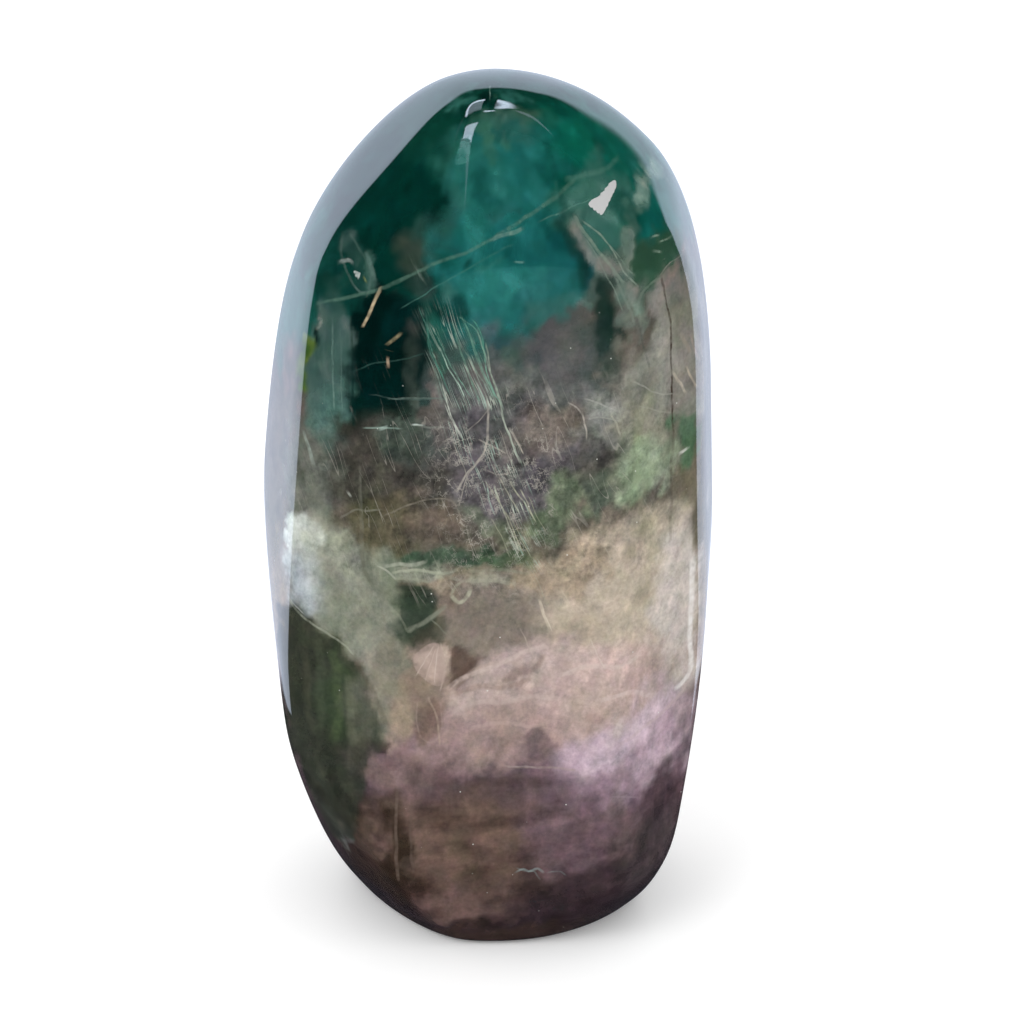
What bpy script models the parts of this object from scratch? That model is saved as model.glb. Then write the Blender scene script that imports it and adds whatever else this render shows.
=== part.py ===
"""A fluorite freeform: one upright stone, ground and polished all over, standing on a flat sawn base.

The stone is a tall block with an oval section, widest about a third of the way up. Above
that level it closes in a blunt dome, and below it the wall draws in towards the base. The polishing
wheel left broad, nearly flat areas that run into each other over soft ridges. Front is -Y, +X is to the
right, and the base lies on z = 0 with the origin under the middle of the stone.
"""

from typing import NamedTuple

import bmesh
import bpy
import numpy as np

# Driving dimensions, in metres.
HEIGHT = 0.100
WIDEST_LEVEL = 0.0298
LEFT_REACH = 0.0269
RIGHT_REACH = 0.0308
FRONT_REACH = 0.0283
BACK_REACH = 0.0200
FOOT_REACH = 0.0364
TOP_LEAN = 0.0006
FOOT_LEAN = 0.0002
BASE_EDGE_ROUND = 0.0008

# Exponents of the curves: 2 is an ellipse, and more is nearer to a box.
DOME_FULLNESS = 3.2
FOOT_FULLNESS = 2.0
SECTION_FULLNESS = 1.9

# Where the flats' distances are measured from: the middle of the stone's height.
MIDDLE = np.array([0.0, 0.0, 0.050])

# How finely the surface is divided, and how finely each upright line is traced before that.
SIDES = 64
WALL_RINGS = 54
TRACE = 600
EDGE_SEGMENTS = 3
HALVINGS = 40

STONE_NAME = "fluorite_freeform"


class Flat(NamedTuple):
    """A ground flat: where it faces, how far it lies from the middle, and how soft its border is."""

    azimuth: float
    elevation: float
    distance: float
    softness: float


# Azimuth 0 is the front and 90 is the right side, in degrees; distance and softness are in metres.
FLATS = {
    "left_edge": Flat(-68.6, 5.1, 0.0250, 0.0020),
    "right_edge": Flat(79.3, 2.4, 0.0254, 0.0015),
    "left_shoulder": Flat(-66, 41.3, 0.0371, 0.0020),
    "left": Flat(-94.4, -9.9, 0.0271, 0.0025),
    "right": Flat(84.2, 15.7, 0.0304, 0.0025),
    "front_shoulder": Flat(8, 50, 0.0440, 0.0030),
    "back": Flat(172, -2, 0.0178, 0.0025),
    "back_left": Flat(224, 5, 0.0212, 0.0030),
    "back_right": Flat(130, 2, 0.0208, 0.0025),
    "left_foot": Flat(-54, -27.7, 0.0372, 0.0040),
    "right_foot": Flat(96, -10.9, 0.0271, 0.0025),
    "left_brow": Flat(-35.1, 33, 0.0333, 0.0012),
    "right_brow": Flat(58.8, 46.1, 0.0408, 0.0012),
    "right_front": Flat(42, 2, 0.0227, 0.0015),
    "left_front": Flat(-25, 4, 0.0204, 0.0025),
    "front_brow": Flat(3, 36, 0.0343, 0.0012),
    "front": Flat(3, 3, 0.0186, 0.0022),
    "front_foot": Flat(2, -10, 0.0255, 0.0015),
}


def facing(azimuth, elevation):
    """The unit vector that points along an azimuth and an elevation in degrees."""
    turn = np.radians(azimuth)
    tilt = np.radians(elevation)
    return np.array([np.sin(turn) * np.cos(tilt), -np.cos(turn) * np.cos(tilt), np.sin(tilt)])


def power(value, exponent):
    """The value's size raised to the exponent, with its sign kept."""
    return np.sign(value) * np.abs(value) ** exponent


def rough_block(turn, rise):
    """The block before it is ground: an oval section, scaled by an upright profile.

    turn runs round the section from the right side through the back. rise is 0 at the widest level,
    a right angle at the top and negative below. With h = sin(rise), the section's scale is the square
    root of 1 - |h| ** fullness.
    """
    above = rise > 0
    level = np.sin(rise)
    reach = np.where(above, HEIGHT - WIDEST_LEVEL, FOOT_REACH)
    fullness = np.where(above, DOME_FULLNESS, FOOT_FULLNESS)
    scale = np.sqrt(np.clip(1 - np.abs(level) ** fullness, 0, None))
    across = power(np.cos(turn), 2 / SECTION_FULLNESS)
    deep = power(np.sin(turn), 2 / SECTION_FULLNESS)
    x = across * scale * np.where(across < 0, LEFT_REACH, RIGHT_REACH)
    y = deep * scale * np.where(deep < 0, FRONT_REACH, BACK_REACH)
    return np.stack([x, y, WIDEST_LEVEL + reach * level], axis=-1)


def ground(points):
    """The points with each flat ground in: what stands outside a flat is moved back on to it.

    Within the softness on either side of the flat the move starts gently, as a parabola, so that the
    flat ends in a soft ridge.
    """
    for flat in FLATS.values():
        normal = facing(flat.azimuth, flat.elevation)
        outside = (points - MIDDLE) @ normal - flat.distance
        started = (outside + flat.softness) ** 2 / (4 * flat.softness)
        move = np.where(outside > flat.softness, outside, started)
        move = np.where(outside < -flat.softness, 0, move)
        points = points - move[..., None] * normal
    return points


def leaned(points):
    """The points moved to the right by the square of their height above or below the widest level."""
    height = points[..., 2] - WIDEST_LEVEL
    above = TOP_LEAN * (height / (HEIGHT - WIDEST_LEVEL)) ** 2
    below = FOOT_LEAN * (height / WIDEST_LEVEL) ** 2
    moved = points.copy()
    moved[..., 0] += np.where(height > 0, above, below)
    return moved


def stone_surface(turn, rise):
    """The stone's surface at the given angles."""
    return leaned(ground(rough_block(turn, rise)))


def base_rise(turn):
    """The rise at which the wall meets z = 0, found by halving the interval for all turns at once."""
    low = np.full(turn.shape, -np.pi / 2)
    high = np.zeros(turn.shape)
    for _ in range(HALVINGS):
        middle = (low + high) / 2
        under = stone_surface(turn, middle)[..., 2] < 0
        low = np.where(under, middle, low)
        high = np.where(under, high, middle)
    return high


def read_at(wanted, known, line):
    """The line's points at the wanted values of a measure that is known at each of its points."""
    return np.stack([np.interp(wanted, known, line[:, axis]) for axis in range(3)], axis=-1)


def upright_line(trace):
    """One line of points from the base to the top: a quarter circle round the base's edge, then equal steps.

    At the angle a of the quarter circle the point is at the height r * (1 - cos a), and it lies
    r * (1 - sin a) further in than the wall.
    """
    arc = np.linspace(0, np.pi / 2, EDGE_SEGMENTS + 1)
    edge = read_at(BASE_EDGE_ROUND * (1 - np.cos(arc)), trace[:, 2], trace)
    inward = BASE_EDGE_ROUND * (1 - np.sin(arc))
    edge[:, :2] *= 1 - inward[:, None] / np.linalg.norm(edge[:, :2], axis=1, keepdims=True)
    wall = np.vstack([edge[-1:], trace[trace[:, 2] > BASE_EDGE_ROUND]])
    walked = np.concatenate([[0.0], np.cumsum(np.linalg.norm(np.diff(wall, axis=0), axis=1))])
    return np.vstack([edge[:-1], read_at(np.linspace(0, walked[-1], WALL_RINGS + 1), walked, wall)])


def stone_rings():
    """The rings of points from the base up, and the top point, centred on the origin."""
    turn = np.linspace(0, 2 * np.pi, SIDES, endpoint=False)
    foot = base_rise(turn)
    rise = foot + (np.pi / 2 - foot) * np.linspace(0, 1, TRACE)[:, None]
    traced = stone_surface(np.broadcast_to(turn, rise.shape), rise)
    points = np.stack([upright_line(traced[:, side]) for side in range(SIDES)], axis=1)
    points[0, :, 2] = 0
    shift = (points.min(axis=(0, 1)) + points.max(axis=(0, 1))) / 2
    points[..., :2] -= shift[:2]
    return points[:-1], points[-1, 0]


def stone_mesh():
    """The closed mesh: a flat base, rings bridged one to the next, and a fan of faces at the top."""
    rings, top = stone_rings()
    mesh = bmesh.new()
    lower_edges = []
    for ring in rings:
        verts = [mesh.verts.new(point) for point in ring]
        edges = [mesh.edges.new(pair) for pair in zip(verts, verts[1:] + verts[:1])]
        if lower_edges:
            bmesh.ops.bridge_loops(mesh, edges=lower_edges + edges)
        else:
            mesh.faces.new(verts)
        lower_edges = edges
    peak = mesh.verts.new(top)
    for edge in lower_edges:
        mesh.faces.new((*edge.verts, peak))
    bmesh.ops.recalc_face_normals(mesh, faces=mesh.faces)
    return mesh


def fluorite():
    """Polished banded fluorite: glassy and see-through, deep green above and smoky mauve below."""
    material = bpy.data.materials.new("polished_fluorite")
    material.use_nodes = True
    shader = material.node_tree.nodes["Principled BSDF"]
    shader.inputs["Base Color"].default_value = (0.14, 0.20, 0.16, 1)
    shader.inputs["Metallic"].default_value = 0
    shader.inputs["Roughness"].default_value = 0.04
    shader.inputs["IOR"].default_value = 1.434
    shader.inputs["Transmission Weight"].default_value = 0.4
    return material


def make_stone():
    """The stone as one object, shaded smooth but for the base's edge."""
    data = bpy.data.meshes.new(STONE_NAME)
    mesh = stone_mesh()
    mesh.to_mesh(data)
    mesh.free()
    data.materials.append(fluorite())
    data.shade_smooth()
    stone = bpy.data.objects.new(STONE_NAME, data)
    bpy.context.scene.collection.objects.link(stone)
    return stone


def main():
    for old in list(bpy.data.objects):
        bpy.data.objects.remove(old)
    make_stone()


main()
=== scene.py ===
"""A polished fluorite freeform, standing on a pale floor in soft studio light.

The stone is one closed surface, cut finer than the frame's solid and inside the same box. Its colour
lies in zones placed in millimetres, which the material breaks up with clouds, fibres and veins.
"""

import logging
import math
from dataclasses import dataclass, field
from enum import Enum
from typing import Any

import bpy
import numpy as np
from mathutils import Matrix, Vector


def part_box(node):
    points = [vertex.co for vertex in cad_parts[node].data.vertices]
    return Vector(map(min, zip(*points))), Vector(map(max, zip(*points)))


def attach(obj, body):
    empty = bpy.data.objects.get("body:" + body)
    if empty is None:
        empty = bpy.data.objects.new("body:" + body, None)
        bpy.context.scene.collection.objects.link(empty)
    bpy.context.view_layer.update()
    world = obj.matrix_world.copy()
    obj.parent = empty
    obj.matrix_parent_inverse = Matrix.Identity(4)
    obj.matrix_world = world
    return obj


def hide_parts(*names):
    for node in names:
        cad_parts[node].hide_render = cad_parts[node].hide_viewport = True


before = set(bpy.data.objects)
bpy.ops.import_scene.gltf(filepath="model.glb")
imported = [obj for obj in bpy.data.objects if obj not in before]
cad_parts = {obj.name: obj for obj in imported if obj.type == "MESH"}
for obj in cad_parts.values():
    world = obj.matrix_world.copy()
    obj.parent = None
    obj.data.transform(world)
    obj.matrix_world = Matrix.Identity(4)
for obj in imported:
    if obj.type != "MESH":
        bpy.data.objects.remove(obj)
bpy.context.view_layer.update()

log = logging.getLogger("fluorite")

MM = 0.001
NODE = "fluorite_freeform"


class Dye(Enum):
    """The stone's own colours, and the painted highlight of its glinting specks, as sRGB hex values."""

    DEEP_GREEN = "#0A4A3C"
    TEAL = "#1C6A5E"
    SMOKE = "#625C54"
    MOSS = "#646052"
    SAND = "#8C7E6E"
    BLUSH = "#8E7B72"
    MAUVE = "#77646C"
    PLUM = "#54444A"
    UMBER = "#44363A"
    DUSK = "#30262A"
    # painted highlight: the colour of the glinting specks
    PAINTED_GLINT = "#E8EAE2"


def linear(code: str) -> tuple[float, float, float, float]:
    """A colour for a shader.

    Args:
        code: an sRGB hex value, such as "#0A4A3C".

    Returns:
        The linear red, green, blue and 1.
    """
    shares = [int(code[start : start + 2], 16) / 255 for start in (1, 3, 5)]
    red, green, blue = [s / 12.92 if s <= 0.04045 else ((s + 0.055) / 1.055) ** 2.4 for s in shares]
    return red, green, blue, 1.0


def add(
    tree: bpy.types.NodeTree,
    kind: str,
    inputs: dict[Any, Any] | None = None,
    out: int | str | None = 0,
    **settings: Any,
) -> Any:
    """Adds one node.

    Args:
        tree: the tree that it goes in.
        kind: the node's type, without "ShaderNode".
        inputs: values or output sockets by input name or number.
        out: the output wanted, by name or number, or None for all of them.
        settings: the node's own properties.

    Returns:
        The output's socket, or all the outputs.
    """
    node = tree.nodes.new("ShaderNode" + kind)
    for name, value in settings.items():
        setattr(node, name, value)
    for key, value in (inputs or {}).items():
        if isinstance(value, bpy.types.NodeSocket):
            tree.links.new(value, node.inputs[key])
        else:
            node.inputs[key].default_value = value
    return node.outputs if out is None else node.outputs[out]


def smoothstep(share: np.ndarray) -> np.ndarray:
    """3 s^2 - 2 s^3, with s kept between 0 and 1."""
    share = np.clip(share, 0, 1)
    return share * share * (3 - 2 * share)


@dataclass(frozen=True)
class Ripples:
    """A smooth random field: many sine waves of about one length, each in its own direction."""

    length: float
    seed: int
    waves: int = 28

    def at(self, points: np.ndarray) -> np.ndarray:
        """The field, about -1 to 1.

        Args:
            points: places in millimetres, with x, y and z last.

        Returns:
            The sum of sin(k . p + phase) over the waves, divided by the square root of half their number.
        """
        draw = np.random.default_rng(self.seed)
        ways = draw.normal(size=(self.waves, 3))
        ways /= np.linalg.norm(ways, axis=1, keepdims=True)
        pitch = 2 * np.pi / (self.length * draw.uniform(0.6, 1.7, (self.waves, 1)))
        phase = draw.uniform(0, 2 * np.pi, self.waves)
        return np.sin(points @ (ways * pitch).T + phase).sum(-1) / math.sqrt(self.waves * 2)


@dataclass(frozen=True)
class Wander:
    """A sum of ripples, with the reach, length and seed of each."""

    ripples: tuple[tuple[float, float, int], ...]

    def at(self, points: np.ndarray) -> np.ndarray:
        """The sum at places in millimetres."""
        return sum(reach * Ripples(length, seed).at(points) for reach, length, seed in self.ripples)


@dataclass(frozen=True)
class Border:
    """A border across the stone in millimetres: its level at x = 0, its climb to the right and its softness."""

    level: float
    climb: float
    softness: float
    sway: float = 2.0

    def passed(self, points: np.ndarray, ripple: np.ndarray) -> np.ndarray:
        """How far past the border, upwards, each point lies.

        Args:
            points: places in millimetres.
            ripple: a field that makes the border wander.

        Returns:
            0 below to 1 above.
        """
        over = points[..., 2] - self.climb * points[..., 0] - self.level + self.sway * ripple
        return smoothstep(over / self.softness)


def in_front(points: np.ndarray, start: float, softness: float) -> np.ndarray:
    """How far each point, in millimetres, is past a start in front of the stone's middle, 0 to 1."""
    return smoothstep((-points[..., 1] - start) / softness)


@dataclass(frozen=True)
class Flat:
    """A ground flat: where it faces in degrees, its distance from the middle and its border's softness in metres."""

    azimuth: float
    elevation: float
    distance: float
    softness: float

    def facing(self) -> np.ndarray:
        """The unit vector that the flat faces along: azimuth 0 is -Y and 90 is +X."""
        turn, tilt = math.radians(self.azimuth), math.radians(self.elevation)
        return np.array([math.sin(turn) * math.cos(tilt), -math.cos(turn) * math.cos(tilt), math.sin(tilt)])

    def grind(self, points: np.ndarray, middle: np.ndarray) -> np.ndarray:
        """Moves back what stands outside the flat.

        With o the height over the flat and k its softness, the move is o past k, (o + k)^2 / 4k between
        -k and k, and nothing below.

        Args:
            points: the surface, with x, y and z last.
            middle: where the distance is measured from.

        Returns:
            The ground surface.
        """
        over = (points - middle) @ self.facing() - self.distance
        started = (over + self.softness) ** 2 / (4 * self.softness)
        move = np.where(over > self.softness, over, np.where(over < -self.softness, 0, started))
        return points - move[..., None] * self.facing()


@dataclass(frozen=True)
class Zone:
    """A cloud of colour inside the stone, in millimetres and degrees."""

    name: str
    centre: tuple[float, float, float]
    across: float
    up: float
    turn: float
    colour: str
    strength: float
    edge: float
    depth: float = 12.0
    sway: float = 0.2

    def weight(self, points: np.ndarray, ripple: np.ndarray) -> np.ndarray:
        """How much of the zone's colour each point takes.

        r is the length of (a / across, b / up, c / depth), where a and b are the offsets across and up
        after the turn and c is the offset in y. With e the edge and s the ripple times the sway, the weight
        is strength * smoothstep((1 + e / 2 - r - s) / e).

        Args:
            points: places in millimetres.
            ripple: a field that makes the border wander.

        Returns:
            The weight, 0 to 1.
        """
        off = points - np.array(self.centre)
        turn = math.radians(self.turn)
        a = off[..., 0] * math.cos(turn) + off[..., 2] * math.sin(turn)
        b = off[..., 2] * math.cos(turn) - off[..., 0] * math.sin(turn)
        r = np.sqrt((a / self.across) ** 2 + (b / self.up) ** 2 + (off[..., 1] / self.depth) ** 2)
        return self.strength * smoothstep((1 + self.edge / 2 - r - self.sway * ripple) / self.edge)


def rounded(path: np.ndarray, closed: bool) -> np.ndarray:
    """The path with its corners cut twice.

    Each cut puts two points on every straight length, at its first and third quarters.

    Args:
        path: the path's points, in rows.
        closed: whether the last point joins the first.

    Returns:
        The smoother path. A closed one ends on its first point.
    """
    for _ in range(2):
        after = np.roll(path, -1, axis=0) if closed else path[1:]
        before = path if closed else path[:-1]
        cut = np.stack([0.75 * before + 0.25 * after, 0.25 * before + 0.75 * after], axis=1).reshape(-1, 2)
        path = cut if closed else np.vstack([path[:1], cut, path[-1:]])
    return np.vstack([path, path[:1]]) if closed else path


def walked(flat: np.ndarray, path: np.ndarray) -> tuple[np.ndarray, np.ndarray, np.ndarray]:
    """Where places lie beside a path, with its first and last lengths running on for ever.

    Args:
        flat: places (x, z) in rows.
        path: the path's points in rows.

    Returns:
        For each place, the signed distance from the path, how far it is past an end, and the length
        walked along the path.
    """
    step = np.diff(path, axis=0)
    length = np.linalg.norm(step, axis=1)
    way = step / length[:, None]
    off = flat[:, None] - path[:-1]
    along = (off * way).sum(-1)
    beside = way[:, 0] * off[..., 1] - way[:, 1] * off[..., 0]
    least, most = np.zeros(len(way)), length.copy()
    least[0], most[-1] = -1e3, 1e3
    gap = np.hypot(along - np.clip(along, least, most), beside)
    row = np.arange(len(flat))
    best = gap.argmin(axis=1)
    past = np.maximum(-along, along - length)[row, best]
    start = np.concatenate([[0.0], np.cumsum(length)[:-1]])
    return gap[row, best] * np.sign(beside[row, best]), past, (along + start)[row, best]


def depth_in(flat: np.ndarray, outline: np.ndarray) -> np.ndarray:
    """How deep inside a closed outline each place lies, negative outside.

    A place is inside where a level ray from it crosses the outline an odd number of times.

    Args:
        flat: places (x, z) in rows.
        outline: the outline's points in rows, ending on the first.

    Returns:
        The distance from the outline, with its sign.
    """
    start, end = outline[:-1], outline[1:]
    step = end - start
    off = flat[:, None] - start
    share = np.clip((off * step).sum(-1) / np.maximum((step**2).sum(-1), 1e-12), 0, 1)
    gap = np.linalg.norm(off - share[..., None] * step, axis=-1).min(axis=1)
    spans = (start[:, 1] > flat[:, 1:]) != (end[:, 1] > flat[:, 1:])
    rise = np.where(np.abs(step[:, 1]) < 1e-9, 1e-9, step[:, 1])
    crossed = spans & (flat[:, :1] < start[:, 0] + step[:, 0] * (flat[:, 1:] - start[:, 1]) / rise)
    return np.where(crossed.sum(axis=1) % 2 == 1, gap, -gap)


def close_by(flat: np.ndarray, path: np.ndarray, margin: float) -> np.ndarray:
    """The numbers of the places within a margin of the path's own box."""
    low, high = path.min(axis=0) - margin, path.max(axis=0) + margin
    return np.flatnonzero(((flat > low) & (flat < high)).all(axis=1))


@dataclass(frozen=True)
class Patch:
    """A cloud with a drawn outline in the stone's front: corners (x, z) and the edge's width in millimetres."""

    name: str
    corners: tuple[tuple[float, float], ...]
    colour: str
    strength: float
    edge: float
    front_start: float = 1.0
    front_softness: float = 5.0

    def laid(self, places: np.ndarray, colour: np.ndarray) -> np.ndarray:
        """The colour with the patch laid over it.

        The weight is strength * smoothstep(0.5 + depth / edge), and it fades out towards the stone's middle.

        Args:
            places: points in millimetres, in rows.
            colour: linear red, green and blue, in rows.

        Returns:
            The new colour.
        """
        flat = places[:, [0, 2]]
        outline = rounded(np.array(self.corners), True)
        near = close_by(flat, outline, self.edge)
        weight = self.strength * smoothstep(0.5 + depth_in(flat[near], outline) / self.edge)
        weight = (weight * in_front(places[near], self.front_start, self.front_softness))[:, None]
        colour = colour.copy()
        colour[near] = colour[near] * (1 - weight) + np.array(linear(self.colour)[:3]) * weight
        return colour


@dataclass(frozen=True)
class Line:
    """A thin line or a filled shape in the stone's front: points (x, z) and width in millimetres."""

    name: str
    points: tuple[tuple[float, float], ...]
    width: float
    colour: str
    strength: float
    filled: bool = False

    def path(self) -> np.ndarray:
        """The line with its corners rounded."""
        return rounded(np.array(self.points), self.filled)

    def near(self, other: "Line", gap: float) -> bool:
        """Whether another line comes near this one.

        Args:
            other: the other line.
            gap: how near, in millimetres.

        Returns:
            Whether any two of their points are nearer than the gap.
        """
        if not len(close_by(other.path(), self.path(), gap)):
            return False
        return bool((np.linalg.norm(self.path()[:, None] - other.path(), axis=-1) < gap).any())


@dataclass
class Drawing:
    """One set of lines that keep clear of each other, so that a point needs only its nearest line.

    In millimetres: a line is written on points within its reach that lie further forward than the front,
    and it fades over the tail past its ends. Points without a line hold the unset values.
    """

    lines: list[Line] = field(default_factory=list)
    clearance: float = 1.8
    reach: float = 1.4
    tail: float = 0.6
    filled_gain: float = 2.5
    front: float = -3.0
    unset: float = 9.0
    unset_width: float = 0.1
    wander: Wander = Wander(((0.10, 4.0, 51), (0.05, 1.6, 52)))

    def takes(self, line: Line) -> bool:
        """Whether the line keeps clear of all the lines in the set."""
        return not any(member.near(line, self.clearance) for member in self.lines)

    def drawn(self, places: np.ndarray) -> tuple[np.ndarray, np.ndarray]:
        """The set's lines as values on points.

        Args:
            places: points in millimetres, in rows.

        Returns:
            The signed offset from the nearest line, the share of it that shows and the plain distance;
            and the line's colour, with its width last. The share falls to 0 over the tail past an end, and
            a filled shape's is raised, so that the breaks in the lines don't show in it.
        """
        vectors = np.tile([self.unset, 0.0, self.unset], (len(places), 1))
        inks = np.tile([0.0, 0.0, 0.0, self.unset_width], (len(places), 1))
        flat = places[:, [0, 2]]
        wander = self.wander.at(places)
        for line in self.lines:
            path = line.path()
            near = close_by(flat, path, self.reach)
            near = near[places[near, 1] < self.front]
            if line.filled:
                offset = gap = np.maximum(-depth_in(flat[near], path), 0)
                share = np.full(len(near), self.filled_gain)
            else:
                offset, past, _ = walked(flat[near], path)
                gap = np.hypot(offset, np.maximum(past, 0))
                offset, share = offset + wander[near], 1 - smoothstep(past / self.tail + 0.5)
            closer = gap < vectors[near, 2]
            values = np.stack([offset, share * line.strength, gap], axis=-1)
            vectors[near[closer]] = values[closer]
            inks[near[closer]] = (*linear(line.colour)[:3], line.width)
        return vectors, inks


def drawings(lines: tuple[Line, ...]) -> list[Drawing]:
    """The lines shared out among sets, each to the first set that takes it.

    Args:
        lines: all the lines.

    Returns:
        As few sets as the clearance needs.
    """
    sets: list[Drawing] = []
    for line in lines:
        found = next((one for one in sets if one.takes(line)), None)
        if found is None:
            found = Drawing()
            sets.append(found)
        found.lines.append(line)
    return sets


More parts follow.
